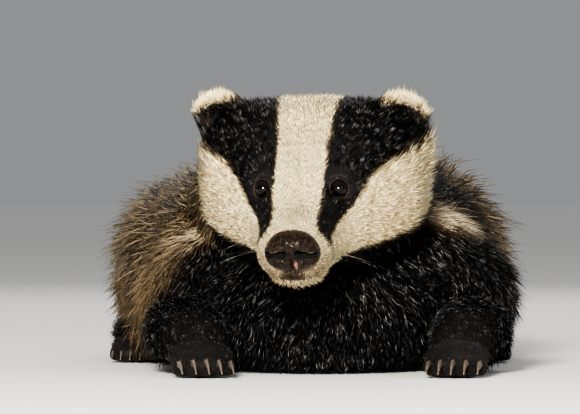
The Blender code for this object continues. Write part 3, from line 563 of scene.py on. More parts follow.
# on the head: limits to the side, forward and up between which the coat starts, is full, starts to end and
# has ended, and what is added there to its length, rise and density, as shares
headTufts = {
    "cheek": ((0.045, 0.062), (-1, -0.9, 0.005, 0.03), None, (0.45, -0.16, 0)),
    "crown": (None, None, (0.018, 0.036), (-0.42, -0.35, 0)),
    "corner": ((0.024, 0.04, 0.058, 0.068), (-0.072, -0.06, -0.02, 0.004), (0.022, 0.034),
               (0.36, 0.95, 0.75)),
    "tuft": ((0.054, 0.064), (-1, -0.9, -0.035, -0.01), (-0.006, 0.004, 0.018, 0.026), (0.45, 0.4, 0)),
    "chin": (None, (0.05, 0.07), (-1, -0.9, -0.026, -0.016), (1.1, 0.7, -0.25)),
}
# markings on the head: half width and middle of the white stripe, and height of the black band's lower edge,
# by place along
stripeRows = (
    (-0.079, 0.023, -0.0036), (-0.045, 0.02, -0.003), (-0.02, 0.0176, -0.0018),
    (0.015, 0.0157, -0.0008), (0.045, 0.0149, -0.0005), (0.065, 0.0141, 0.0), (0.074, 0.015, 0.0),
    (0.08, 0.018, 0.0), (0.088, 0.025, 0.0)
)
bandRows = (
    (-0.079, 0.01), (-0.045, 0.012), (-0.013, 0.0205), (0.004, 0.0215), (0.016, 0.018), (0.026, 0.0115),
    (0.036, 0.0055), (0.05, 0.003), (0.064, 0.0005), (0.076, -0.002), (0.088, -0.0035)
)
# the black front's edge on the animal's right, and the pale bands behind its cheeks: from, to, half widths
blackEdge = {"height": 0.083, "slope": 1.32, "out": 0.0716, "top": 0.106}
paleBands = (((0.068, 0.104), (0.1, 0.086), 0.009, 0.002),
             ((-0.062, 0.094), (-0.076, 0.076), 0.0055, 0.0015))
coatSmoothing = {"plan": 46, "marks": 8, "rate": 0.7}
earCoat = {"from": 0.001, "cup": (0.0135, 0.0185), "inner": (0.0075, 0.9, 900e3), "tip": (0.0105, 0.0128),
           "outerDrop": 0.0075, "innerDrop": 0.0034, "tipLonger": 0.003, "tipThinner": 0.25}


def partOf(labels, name):
    return np.char.startswith(labels, name)


def within(value, limits):
    if limits is None:
        return 1.0
    share = ease(value, *limits[:2])
    return share * (1 - ease(value, *limits[2:])) if len(limits) > 2 else share


def coatPlan(skin, labels):
    co, edges, count = meshArrays(skin.data)
    up = fetched(skin.data.vertex_normals, "vector", 3)
    local = toHead(co)
    x, y, z = co.T
    across, forward, height = np.abs(local[:, 0]), local[:, 1], local[:, 2]
    head, ear, trunk, neck, arm, haunch, tail = (
        partOf(labels, name) for name in ("head", "ear", "trunk", "neck", "arm", "haunch", "tail"))
    left = x > 0

    # which way it lies
    flank = ease(np.abs(up[:, 0]), 0.2, 0.9)
    lie = np.stack([0.10 * np.sign(x) * flank, np.ones(len(co)), -0.10 - 0.55 * flank], 1)
    lie[trunk & (y < -0.1) & (ease(-y, 0.08, 0.15) * ease(0.10 - z, 0, 0.05) > 0.5)] = (0, 0.35, -1)
    for name, way in coatLie.items():
        chosen = partOf(labels, name)
        lie[chosen] = way
        lie[chosen, 0] *= np.sign(x[chosen])
    lie[neck & (up[:, 2] < 0.1)] = (0, 0.6, -1)
    away = np.stack([1.1 * local[:, 0], forward - 0.115, 0.55 * height - 0.012 * (height < 0)], 1)
    lie[head] = (away @ np.array(headPlace.to_3x3()).T)[head]

    # length, rise and density
    parts = [label.replace("Left", "").replace("Right", "") for label in labels]
    values = np.array([coatTable.get(part, (0, 0, 0)) for part in parts])
    values[head] = smoothTable(headCoat, forward[head])
    for toSide, toFront, upward, change in headTufts.values():
        share = head * within(across, toSide) * within(forward, toFront) * within(height, upward)
        values *= 1 + share[:, None] * change
    for name, (less, start, end) in shorterAhead.items():
        values[:, 0] -= less * partOf(labels, name) * ease(-y, start, end)
    values[:, 0] *= 1 - 0.45 * tail * ease(y, 0.36, 0.43)
    sideways = (trunk | haunch) * ease(np.abs(x), 0.095, 0.125)
    values[:, 0] *= 1 - np.where(left, 0.18, 0.25) * sideways
    values[:, 1] *= 1 - np.where(left, 0.2, 0.34) * sideways
    values[:, 0] *= 1 - (0.42 * trunk + 0.15 * neck) * ease(-y, 0.05, 0.13) * ease(0.125 - z, 0, 0.03)
    values[:, :2] *= 1 - 0.45 * (neck * ease(-y, 0.135, 0.185) * ease(z, 0.105, 0.13))[:, None]  # the nape
    values[(z < 0.02) & ~head & (up[:, 2] < -0.5), 2] *= 0.12  # little grows on the belly that it lies on

    # the ears: longer hair in the cup, and pale tips that reach lower at the outer corner
    tips, hollow = np.zeros(len(co)), np.zeros(len(co))
    for side, word in ((1, "Left"), (-1, "Right")):
        chosen = labels == "ear" + word
        own = placed(co, earPlace(side).inverted())
        lie[chosen] = np.array(earPlace(side).to_3x3()) @ np.array((0, 0, 1.0))
        cup = np.hypot(own[:, 0] / earCoat["cup"][0], own[:, 2] / earCoat["cup"][1])
        inside = chosen & (own[:, 1] > earCoat["from"]) & (cup < 0.85)
        values[inside] = earCoat["inner"]
        outer = own[:, 0] * side / earShape["size"][0]
        drop = np.where(outer > 0, earCoat["outerDrop"], earCoat["innerDrop"]) * np.minimum(outer**2, 1)
        tips[chosen] = ease(own[:, 2] + drop, *earCoat["tip"])[chosen]
        hollow[inside] = 1 - tips[inside]
    values[:, 0] += earCoat["tipLonger"] * tips
    values[:, 2] *= 1 - earCoat["tipThinner"] * tips

    plan = np.column_stack([lie / np.linalg.norm(lie, axis=1)[:, None], values[:, :2]])
    plan = relaxed(plan, edges, count, coatSmoothing["plan"],
                   lambda i: np.where(head & (i > 7) | ear & (i > 3), 0.0, coatSmoothing["rate"])[:, None])
    lie = plan[:, :3] - up * np.sum(plan[:, :3] * up, 1)[:, None]
    lie /= np.maximum(np.linalg.norm(lie, axis=1), 1e-6)[:, None]
    length, rise, density = plan[:, 3], plan[:, 4], values[:, 2]

    # shorter and then bare at the eyes, bare at the lips and nose
    off = eyeDistance(local)
    length = length * (0.56 + 0.44 * ease(off, 0.007, 0.015))
    rise = rise * (0.8 + 0.2 * ease(off, 0.007, 0.015))
    distance, along = mouthDistance(local)
    bare = along * hump(distance, 0.0011) * head
    for side in (-1, 1):
        opening, ex, ey, h, gaze = lidOpening(local, side)
        rho = np.hypot(ex, ey * 1.15)
        near = (h > -0.002) & (np.linalg.norm(local - gazeFrame(side)[0], axis=1) < 0.02)
        density = np.where(near, density * ease(rho, 0.005, 0.006), density)
        bare = np.maximum(bare, (1 - ease(rho, 0.0057, 0.0069)) * (h > -0.004) * (h < 0.02))
    density = density * (1 - along * (np.abs(distance) < 0.0007) * head * (forward < 0.072))
    onNose = (forward > 0.0785) & (np.hypot(across / 0.0135, (height + 0.001) / 0.0105) < 1)
    density = density * (1 - head * onNose)

    # markings: dark from white to black, grizzle for the banded coat of the body
    stripe, middle = smoothTable(stripeRows, forward).T
    band = smoothTable(bandRows, forward)[:, 0]
    bandOn = ease(np.abs(local[:, 0] - middle), stripe - 0.0009, stripe + 0.0009)
    bandOn = bandOn * ease(height, band - 0.0011, band + 0.0011) * (1 - ease(forward, 0.0725, 0.0775))
    throat = ease(-height, 0.0232, 0.0282) * (1 - ease(forward, 0.036, 0.046))
    dark = np.where(head, np.maximum(bandOn, throat), 0.0)
    grizzle = np.where(head, ease(-forward, 0.074, 0.086), 0.0)
    grizzle = np.where(trunk | haunch, ease(z, 0.006, 0.026), grizzle)
    grizzle = np.where(tail, 1.0, grizzle)
    # the black front: on the animal's right it ends on a line from the cheek down to the floor, on its left
    # it goes up to the outline
    line = blackEdge["height"] - blackEdge["slope"] * (np.abs(x) - blackEdge["out"])
    line = np.minimum(line, blackEdge["top"])
    greyRight = ease(z, line - 0.007, line + 0.009)
    greyLeft = np.maximum(ease(z, 0.13, 0.15), (1 - ease(x, 0.04, 0.062)) * ease(z, 0.095, 0.125))
    front = np.where(left, ease(-y, -0.01, 0.065) * (1 - greyLeft), ease(-y, 0.02, 0.08) * (1 - greyRight))
    fore = trunk | neck | arm
    grizzle = np.where(fore, np.maximum(grizzle, neck | arm) * (1 - front), grizzle)
    body = ~head & ~ear
    dark = np.where(body, 1 - grizzle, np.where(ear, 1 - tips, dark))
    pale = np.zeros(len(co))
    for (startX, startZ), (endX, endZ), wide, thin in paleBands:  # wedges, seen from in front
        wayX, wayZ = endX - startX, endZ - startZ
        share = ((x - startX) * wayX + (z - startZ) * wayZ) / (wayX**2 + wayZ**2)
        aside = np.abs((x - startX) * wayZ - (z - startZ) * wayX) / math.hypot(wayX, wayZ)
        half = wide + (thin - wide) * np.clip(share, 0, 1)
        pale = np.maximum(pale, ease(half - aside, 0, 0.004) * within(share, (-0.25, 0.0, 0.9, 1.1)))
    pale = np.maximum(pale * fore * ease(-y, 0.085, 0.11), 0.75 * tail)
    marks = np.column_stack([dark * (1 - pale), np.maximum(grizzle, pale), pale])
    marks = relaxed(marks, edges, count, coatSmoothing["marks"],
                    lambda i: coatSmoothing["rate"] * body[:, None])

    # stains and painted shade: brown stains on the bridge, round the nose, at the mouth and under the nose;
    # painted shade on the ring's lower part and on the animal's left, away from the key light, and in the
    # crease behind the whiskers' pads
    bridge = hump(local[:, 0] - 0.001, 0.0075) * hump(forward - 0.064, 0.011) * (height > 0)
    # the ring is stained brown all round, and more below and on the animal's left, which is painted shade
    ring = 0.56 + 0.40 * ease(-height, 0, 0.014) + 0.20 * ease(local[:, 0], 0.008, 0.016)
    ring *= ease(forward, 0.0735, 0.084)
    fold = 0.9 * along * hump(distance, 0.0016) * ease(forward, 0.05, 0.07) * (forward < 0.074)
    # painted shade in the crease behind the whiskers' pads
    crease = ease(across, 0.014, 0.019) * ease(0.002 - height, 0, 0.003) * ease(height, -0.022, -0.016)
    crease = 1.1 * crease * hump(forward - padShape["crease"], 0.0022)
    under = head * (forward > 0.075) * hump(local[:, 0], 0.006) * hump(height + 0.0165, 0.0032)
    marks[:, 0] = np.maximum(marks[:, 0], 0.8 * under)
    # rim: round the eyes a brown ring, partly the lids' own colour and partly painted sheen; in the ear cups
    # and on the paws it is their own brown
    rims = [0.5 * (1 - ease(off, 0.0078, 0.0105)), 0.75 * hollow, 0.20 * (np.char.find(labels, "Paw") > 0)]
    for name, data in (("stain", head * np.max([0.6 * bridge, ring, fold, crease, under], axis=0)),
                       ("rim", np.max(rims, axis=0)), ("tan", ease(0.080 - z, 0, 0.05) * ~head * marks[:, 1]),
                       ("coatLength", length), ("coatRise", rise), ("coatDensity", density), ("bare", bare),
                       ("dark", marks[:, 0]), ("grizzle", marks[:, 1]), ("pale", marks[:, 2])):
        store(skin, name, data)
    store(skin, "lie", lie, "FLOAT_VECTOR")
    store(skin, "up", up, "FLOAT_VECTOR")
    firsts = np.array([p.vertices[0] for p in skin.data.polygons])
    store(skin, "region", regionOf(labels, local, co)[firsts], "INT", "FACE")


# coat pieces: segments, thickness, crowding, clump, clump size, stray, wave, curl
coatSettings = {
    "coatMuzzle": (2, 0.62, 0.98, 0.0, 0.004, 0.46, 0.45, 0.15),
    "coatFace": (2, 0.6, 1.0, 0.45, 0.0055, 0.32, 0.45, 0.14),
    "coatLeftCheek": (2, 0.48, 1.55, 0.38, 0.006, 0.28, 0.45, 0.14),
    "coatRightCheek": (2, 0.48, 1.55, 0.38, 0.006, 0.28, 0.45, 0.14),
    "coatNeck": (2, 0.46, 1.35, 0.28, 0.009, 0.38, 0.6, 0.35),
    "coatChest": (2, 0.42, 1.6, 0.3, 0.01, 0.6, 1.0, 0.55),
    "coatLegs": (2, 0.56, 1.0, 0.22, 0.008, 0.42, 0.65, 0.3),
    "coatBack": (3, 0.44, 1.0, 0.45, 0.013, 0.42, 0.8, 0.8),
    "coatLeftFlank": (3, 0.44, 1.05, 0.45, 0.013, 0.42, 0.8, 0.8),
    "coatRightFlank": (3, 0.44, 1.05, 0.45, 0.013, 0.42, 0.8, 0.65),
    "coatRump": (3, 0.46, 0.75, 0.45, 0.015, 0.4, 0.75, 0.7),
    "coatTail": (3, 0.5, 1.0, 0.4, 0.014, 0.45, 0.55, 0.4),
}


def regionOf(labels, local, co):  # the number of the coat piece that grows at each place
    x, y, z = co.T
    toSide, forward, height = local.T
    muzzle, face, leftCheek, rightCheek, nape, chest, legs, back, leftFlank, rightFlank, rump, end = range(12)
    head, trunk = partOf(labels, "head") | partOf(labels, "ear"), partOf(labels, "trunk")
    middle = trunk | partOf(labels, "haunch")
    choices = (
        (head & (forward < 0.034) & (height < -0.03), face), (head & (forward > 0.034), muzzle),
        (head & (np.abs(toSide) < 0.036), face), (head & (toSide > 0), leftCheek), (head, rightCheek),
        (partOf(labels, "neck"), nape), (partOf(labels, "arm") | (trunk & (y < -0.1)), chest),
        (middle & (y > 0.17), rump), (trunk & (np.abs(x) < 0.062), back), (middle & (x > 0), leftFlank),
        (middle, rightFlank), (partOf(labels, "tail"), end))
    return np.select(*zip(*choices), legs)


def unwrap(skin):  # a map of the skin's own shape
    bpy.context.view_layer.objects.active = skin
    skin.select_set(True)
    skin.data.uv_layers.new(name="OFBake")
    bpy.ops.object.mode_set(mode="EDIT")
    bpy.ops.mesh.select_all(action="SELECT")
    bpy.ops.uv.smart_project(angle_limit=math.radians(66), island_margin=0.003)
    bpy.ops.object.mode_set(mode="OBJECT")
    skin.select_set(False)


# node graphs

class Field:  # a node's output socket, with arithmetic
    def __init__(self, graph, socket):
        self.graph, self.socket = graph, socket
        self.vector = socket.type in ("VECTOR", "RGBA")

    def math(self, operation, *others, swapped=False):
        vector = self.vector or any(getattr(o, "vector", isinstance(o, tuple)) for o in others)
        values = (*others, self) if swapped else (self, *others)
        if vector:
            values = [(v, v, v) if isinstance(v, (int, float)) else v for v in values]
        kind = "ShaderNodeVectorMath" if vector else "ShaderNodeMath"
        return self.graph.node(kind, {"operation": operation}, *values)

    def __add__(self, other):
        return self.math("ADD", other)

    def __sub__(self, other):
        return self.math("SUBTRACT", other)

    def __rsub__(self, other):
        return self.math("SUBTRACT", other, swapped=True)

    def __mul__(self, other):
        return self.math("MULTIPLY", other)

    def __rtruediv__(self, other):
        return self.math("DIVIDE", other, swapped=True)

    __radd__, __rmul__ = __add__, __mul__

    def clamped(self, low, high):  # 0 at low, 1 at high, smooth between
        smooth = {"interpolation_type": "SMOOTHSTEP"}
        return self.graph.node("ShaderNodeMapRange", smooth, self, low, high, 0.0, 1.0)


class Graph:
    def __init__(self, tree):
        self.tree = tree

    def node(self, kind, settings=None, *values, output=0, **named):
        made = self.tree.nodes.new(kind)
        for key, value in (settings or {}).items():
            setattr(made, key, value)
        enabled = [s for s in made.inputs if s.enabled]
        geometry = [s for s in enabled if s.type == "GEOMETRY"]
        usable = [s for s in enabled if s.type != "GEOMETRY"]
        pairs = []
        for value in values:
            isGeometry = isinstance(value, Field) and value.socket.type == "GEOMETRY"
            pairs.append(((geometry if isGeometry else usable).pop(0), value))
        for key, value in named.items():
            pairs.append((next(s for s in enabled if s.name.replace(" ", "") == key), value))
        for socket, value in pairs:
            if isinstance(value, Field):
                self.tree.links.new(value.socket, socket)
            elif value is not None:
                socket.default_value = value
        outputs = [s for s in made.outputs if s.enabled]
        if isinstance(output, str):
            return Field(self, next(s for s in outputs if s.name == output))
        return Field(self, outputs[output])

    def mix(self, share, low, high):  # colours
        return self.node("ShaderNodeMix", {"data_type": "RGBA"}, share, low, high)

    def named(self, name, kind="FLOAT"):
        if self.tree.type == "GEOMETRY":
            return self.node("GeometryNodeInputNamedAttribute", {"data_type": kind}, name)
        return self.node("ShaderNodeAttribute", {"attribute_name": name}, output="Fac")

    def place(self):
        return self.node("ShaderNodeTexCoord", output="Object")

    def noise(self, place, scale, detail, output=0):
        return self.node("ShaderNodeTexNoise", None, place, output=output, Scale=scale, Detail=detail)

    def bump(self, height, strength, distance):
        return self.node("ShaderNodeBump", None, Strength=strength, Distance=distance, Height=height)

    def split(self, vector):
        whole = self.node("ShaderNodeSeparateXYZ", None, vector)
        return (Field(self, socket) for socket in whole.socket.node.outputs)

    def whole(self, x, y, z):
        return self.node("ShaderNodeCombineXYZ", None, x, y, z)


def colour(red, green, blue):
    return (red, green, blue, 1.0)


def makeMaterial(name, build, roughness=0.5, specular=0.5):
    made = bpy.data.materials.new(name)
    made.use_nodes = True
    tree = made.node_tree
    tree.nodes.clear()
    shader, output = (tree.nodes.new("ShaderNode" + kind) for kind in ("BsdfPrincipled", "OutputMaterial"))
    shader.inputs["Roughness"].default_value = roughness
    shader.inputs["Specular IOR Level"].default_value = specular
    tree.links.new(shader.outputs[0], output.inputs["Surface"])
    for key, field in build(Graph(tree)).items():
        tree.links.new(field.socket, shader.inputs[key])
    return made


# glint is a painted highlight on black hair; stain also paints shade on the nose ring and in the crease;
# whiteShade is partly painted shade at the roots; rim is partly painted sheen round the eyes
coatColours = {
    "rim": colour(0.06, 0.043, 0.036), "white": colour(1.0, 0.89, 0.585),
    "whiteShade": colour(0.58, 0.41, 0.2), "stain": colour(0.235, 0.155, 0.092),
    "black": colour(0.0035, 0.0032, 0.003), "brown": colour(0.045, 0.025, 0.014),
    "glint": colour(0.21, 0.2, 0.185), "cream": colour(0.18, 0.13, 0.075),
    "tip": colour(0.25, 0.192, 0.12), "band": colour(0.028, 0.019, 0.012),
    "tan": colour(0.24, 0.155, 0.08), "pale": colour(0.5, 0.42, 0.3),
}


def coatColour(graph, along, chance):
    dark, grizzle, pale, stain = (graph.named(name) for name in ("dark", "grizzle", "pale", "stain"))
    place = graph.place()
    streak = graph.noise(place, 200.0, 2.0).clamped(0.5, 0.74)
    # the white is darker at random per strand and in streaks, which is its own tone, and darker towards the
    # root, which is painted shade among the strands
    shade = chance.clamped(0.35, 1.0) * 0.75 + (1 - along) * 0.20 + streak * 0.45
    white = graph.mix(shade, coatColours["white"], coatColours["whiteShade"])
    # brown stains, and painted shade on the ring round the nose and in the crease behind the whiskers' pads
    white = graph.mix(stain * (0.4 + 0.6 * chance), white, coatColours["stain"])
    white = graph.mix(stain * chance.clamped(0.72, 0.9), white, coatColours["brown"])  # dark bristles
    # painted highlights: some black strands turn pale grey in short stretches, as glints of light on the hair
    glintPatches = graph.noise(place, 230.0, 1.0).clamped(0.42, 0.7)
    black = graph.mix(chance.clamped(0.5, 1.0) * glintPatches, coatColours["black"], coatColours["glint"])
    edge = (1 - (dark * 2 - 1).math("ABSOLUTE")).clamped(0.05, 0.6)
    marking = graph.mix(dark.clamped(0.25, 0.75), white, black)
    marking = graph.mix(edge * 0.8, marking, coatColours["brown"])
    marking = graph.mix(graph.named("rim") * (0.3 + 0.7 * chance), marking, coatColours["rim"])
    banded = graph.mix(along.clamped(0.36, 0.5), coatColours["cream"], coatColours["band"])
    banded = graph.mix(along.clamped(0.64, 0.76), banded, coatColours["tip"])
    plain = graph.mix(chance.clamped(0.8, 1.0), coatColours["tip"], coatColours["cream"])
    banded = graph.mix(chance.clamped(0.62, 0.66), banded, plain)
    banded = graph.mix(graph.named("tan") * (0.25 + 0.5 * chance), banded, coatColours["tan"])
    banded = graph.mix(pale * chance.clamped(0.05, 0.5), banded, coatColours["pale"])
    banded = banded * (0.62 + graph.noise(place, 16.0, 2.0) * 0.8)
    return graph.mix(grizzle.clamped(0.1, 0.9), marking, banded)


def strandLook(graph):
    return {"Base Color": coatColour(graph, graph.named("along"), graph.named("chance"))}


def skinLook(graph):
    place = graph.place()
    grain, along = graph.noise(place, 900.0, 3.0), graph.noise(place, 220.0, 2.0)
    hide = graph.mix(grain.clamped(0.3, 0.8), colour(0.01, 0.007, 0.006), colour(0.075, 0.052, 0.043))
    # where hair grows the skin takes the coat's colour at 0.4: partly the darker undercoat, partly painted
    # shade between the strands
    base = graph.mix(graph.named("bare"), coatColour(graph, along * 0.35, grain) * 0.4, hide)
    return {"Base Color": base, "Normal": graph.bump(grain, 0.35, 0.0004)}


def eyeLook(graph):
    rho = graph.named("gazeDistance")  # millimetres from the gaze line
    streak = graph.noise(graph.place(), 1400.0, 2.0)
    iris = graph.mix(streak, colour(0.003, 0.002, 0.0015), colour(0.008, 0.005, 0.003))
    base = graph.mix(rho.clamped(2.4, 2.8), colour(0.0015, 0.0015, 0.0015), iris)
    return {"Base Color": graph.mix(rho.clamped(4.4, 5.2), base, colour(0.005, 0.0035, 0.003))}


def noseLook(graph):
    place = graph.place()
    pebble = graph.node("ShaderNodeTexVoronoi", {"feature": "DISTANCE_TO_EDGE"}, place, Scale=850.0)
    fine = graph.noise(place, 420.0, 4.0)
    pink = (graph.named("pink") * (0.3 + 1.3 * fine)).clamped(0.25, 0.8)
    base = graph.mix(fine.clamped(0.35, 0.75), colour(0.009, 0.0044, 0.0024), colour(0.042, 0.0215, 0.0115))
    base = graph.mix(pink, base, colour(0.34, 0.18, 0.15))
    # painted shade inside the nostrils, which are also rougher there
    deep = graph.named("deep")
    return {"Base Color": graph.mix(deep, base, colour(0.002, 0.0015, 0.001)),
            "Roughness": 0.05 + fine * 0.24 + deep * 0.6,
            "Normal": graph.bump(pebble.clamped(0.0, 0.16) + fine * 0.8, 1.0, 0.00085)}


def whiskerLook(graph):
    patch = graph.noise(graph.place(), 90.0, 1.0).clamped(0.52, 0.62)
    return {"Base Color": graph.mix(patch, colour(0.02, 0.017, 0.015), colour(0.45, 0.41, 0.35))}


def clawLook(graph):
    streak = graph.noise(graph.place() * (900.0, 120.0, 900.0), 1.0, 2.0)
    return {"Base Color": graph.mix(streak, colour(0.055, 0.042, 0.032), colour(0.2, 0.155, 0.115)),
            "Normal": graph.bump(streak, 0.25, 0.0003)}


materials = {
    "coat": makeMaterial("coatHair", strandLook, 0.42, 0.2),
    "skin": makeMaterial("skinHide", skinLook, 0.75, 0.3),
    "eye": makeMaterial("eyeDark", eyeLook, 0.04, 0.36),
    "nose": makeMaterial("noseLeather", noseLook, specular=0.42),
    "whisker": makeMaterial("whiskerHair", whiskerLook, 0.35),
    "claw": makeMaterial("clawHorn", clawLook, 0.38),
}


def dressed(obj, key, smooth=True):
    if smooth:
        obj.data.shade_smooth()
    obj.data.materials.clear()
    obj.data.materials.append(materials[key])
    return obj


# the coat: Geometry Nodes put a tapered strand on each point of a region and lay it along the skin

strandShape = {"sides": 3, "sink": 0.0008, "fineWidth": 0.0003, "widthPerLength": 0.026, "flat": 0.7,
               "floor": 0.0006, "patch": (0.0012, 0.0028), "firstSeed": 20}
strandSockets = {"Region": "Int", "Seed": "Int", "Segments": "Int", "Thickness": "Float", "Crowding": "Float",
                 "Clump": "Float", "Clump Size": "Float", "Stray": "Float", "Wave": "Float", "Curl": "Float"}
spentAttributes = ("shape", "root", "lie", "up", "ownLength", "ownTurn", "ownRise", "coatLength", "coatRise",
                   "coatDensity", "region", "bare", "OFBake")


def coatGroup():
    tree = bpy.data.node_groups.new("coatOfStrands", "GeometryNodeTree")
    for name, kind in (("Geometry", "Geometry"), *strandSockets.items()):
        tree.interface.new_socket(name, in_out="INPUT", socket_type="NodeSocket" + kind)
    tree.interface.new_socket("Geometry", in_out="OUTPUT", socket_type="NodeSocketGeometry")
    graph = Graph(tree)
    given = {s.name: Field(graph, s) for s in tree.nodes.new("NodeGroupInput").outputs if s.name}

    def keep(geometry, name, value, kind="FLOAT", domain="POINT"):
        settings = {"data_type": kind, "domain": domain}
        return graph.node("GeometryNodeStoreNamedAttribute", settings, geometry, None, name, value)

    def chance(low, high, seed):
        own = given["Seed"] + seed
        return graph.node("FunctionNodeRandomValue", {"data_type": "FLOAT"}, low, high, None, own)

    # a point for each strand, with its own length, turn and rise
    here = graph.node("FunctionNodeCompare", {"data_type": "INT", "operation": "EQUAL"},
                      graph.named("region", "INT"), given["Region"])
    points = graph.node("GeometryNodeDistributePointsOnFaces", {"distribute_method": "RANDOM"},
                        Mesh=given["Geometry"], Selection=here, Seed=given["Seed"],
                        Density=graph.named("coatDensity") * given["Crowding"], output="Points")
    points = keep(points, "root", graph.node("GeometryNodeInputPosition"), "FLOAT_VECTOR")
    points = keep(points, "chance", chance(0.0, 1.0, 11))
    points = keep(points, "ownLength", graph.named("coatLength") * chance(0.68, 1.12, 12))
    points = keep(points, "ownTurn", chance(-1.0, 1.0, 13))
    points = keep(points, "ownRise", chance(0.55, 1.3, 14))
    cone = graph.node("GeometryNodeMeshCone", {"fill_type": "NGON"}, Vertices=strandShape["sides"],
                      SideSegments=given["Segments"], RadiusTop=0.0, RadiusBottom=1.0, Depth=1.0)
    cone = keep(cone, "shape", graph.node("GeometryNodeInputPosition"), "FLOAT_VECTOR")
    strands = graph.node("GeometryNodeInstanceOnPoints", None, points, Instance=cone)
    strands = graph.node("GeometryNodeRealizeInstances", None, strands)
    shapeX, shapeY, along = graph.split(graph.named("shape", "FLOAT_VECTOR"))
    strands = keep(strands, "along", along)
    # each strand follows the lie, strays, rises, curls, and leans to the middle of its clump
    along, length = graph.named("along"), graph.named("ownLength")
    root, lie, up = (graph.named(name, "FLOAT_VECTOR") for name in ("root", "lie", "up"))
    sideways = lie.math("CROSS_PRODUCT", up).math("NORMALIZE")
    wave = (graph.noise(root, 38.0, 1.0, "Color") - 0.5) * given["Wave"] * (0.4 + along * 1.3)
    turned = lie + sideways * (graph.named("ownTurn") * given["Stray"]) + wave
    turned = (turned - up * turned.math("DOT_PRODUCT", up)).math("NORMALIZE")
    curl = (graph.noise(root, 150.0, 0.0, "Color") - 0.5) * (along * along * given["Curl"])
    lift = graph.named("coatRise") * graph.named("ownRise") * (along - along * along * 0.42)
    spine = turned * (along * (1 - graph.named("coatRise") * 0.18)) + up * lift + curl
    cell = graph.node("ShaderNodeTexVoronoi", {"feature": "F1"}, root, Scale=1 / given["Clump Size"],
                      output="Position")
    pull = cell - root
    pull = (pull - up * pull.math("DOT_PRODUCT", up)) * (along * along * given["Clump"])
    width = strandShape["fineWidth"] + length * strandShape["widthPerLength"]
    width = width * given["Thickness"] * (1 + along * 0.9)
    around = sideways * (shapeX * width) + up * (shapeY * width * strandShape["flat"])
    goalX, goalY, goalZ = graph.split(root - up * strandShape["sink"] + spine * length + pull + around)
    goal = graph.whole(goalX, goalY, goalZ.math("MAXIMUM", strandShape["floor"]))
    strands = graph.node("GeometryNodeSetPosition", None, strands, None, goal)
    strands = graph.node("GeometryNodeSetShadeSmooth", None, strands)
    # each strand's own patch on the unwrap of the skin
    patchWide, patchTall = strandShape["patch"]
    patch = graph.named("OFBake", "FLOAT_VECTOR") + graph.whole(shapeX * patchWide, along * patchTall, 0.0)
    strands = keep(strands, "bakePlace", patch, "FLOAT2", "CORNER")
    for name in spentAttributes:
        strands = graph.node("GeometryNodeRemoveAttribute", None, strands, name)
    strands = graph.node("GeometryNodeSetMaterial", None, strands, None, materials["coat"])
    tree.links.new(strands.socket, tree.nodes.new("NodeGroupOutput").inputs[0])
    return tree


def growCoat(skin, group, name, region, settings):
    step = skin.modifiers.new("coat", "NODES")
    step.node_group = group
    sockets = {item.name: item.identifier for item in group.interface.items_tree if item.in_out == "INPUT"}
    for key, value in zip(strandSockets, (region, strandShape["firstSeed"] + region, *settings)):
        step[sockets[key]] = value
    mesh = bpy.data.meshes.new_from_object(skin.evaluated_get(bpy.context.evaluated_depsgraph_get()))
    skin.modifiers.clear()
    mesh.name = name
    patches = fetched(mesh.attributes["bakePlace"].data, "vector", 2)
    mesh.attributes.remove(mesh.attributes["bakePlace"])
    mesh.uv_layers.new(name="OFBake").data.foreach_set("uv", patches.ravel())
    print(name, "triangles:", sum(len(p.vertices) - 2 for p in mesh.polygons))
    return linked(name, mesh)


# eyes and nose

corneaShape = {"rise": 0.00055, "reach": 0.0042, "segments": 56, "rings": 36}


def makeEye(name, side):
    centre, gaze, across, up = gazeFrame(side)
    axes = Matrix([[*row, 0] for row in np.column_stack([across, up, gaze])] + [[0, 0, 0, 1]])
    bm = bmesh.new()
    bmesh.ops.create_uvsphere(bm, u_segments=corneaShape["segments"], v_segments=corneaShape["rings"],
                              radius=eyeShape["radius"])
    distances = []
    for v in bm.verts:
        rho = math.hypot(v.co.x, v.co.y)
        distances.append(1000 * (rho if v.co.z > 0 else eyeShape["radius"]))
        if v.co.z > 0:
            v.co.z += corneaShape["rise"] * max(0.0, 1 - (rho / corneaShape["reach"]) ** 2) ** 1.5
    bm.transform(headPlace @ Matrix.Translation(centre) @ axes)
    bmesh.ops.recalc_face_normals(bm, faces=bm.faces)
    made = bmeshObject(name, bm)
    store(made, "gazeDistance", distances)
    return dressed(made, "eye")


noseShape = {"voxel": 0.0005, "ends": (0.074, 0.093), "nostril": (0.0062, 0.0915, 0.0002),
             "nostrilSize": (0.0042, 0.006, 0.0029), "slit": (0.0108, 0.09, -0.0006),
             "slitSize": (0.0054, 0.0054, 0.0021), "slitTurn": 14, "philtrum": (0, 0.093, -0.0095),
             "philtrumSize": (0.00065, 0.0022, 0.0085), "pinch": 0.08, "widen": 1.03, "aside": 0.0006}
# pink spots: place, half width, half height, strength
noseSpots = ((0.0036, 0.09, -0.0066, 0.0018, 0.0048, 0.8), (0.0066, 0.09, -0.0042, 0.003, 0.0016, 0.42),
             (-0.005, 0.09, -0.004, 0.0026, 0.0016, 0.4))


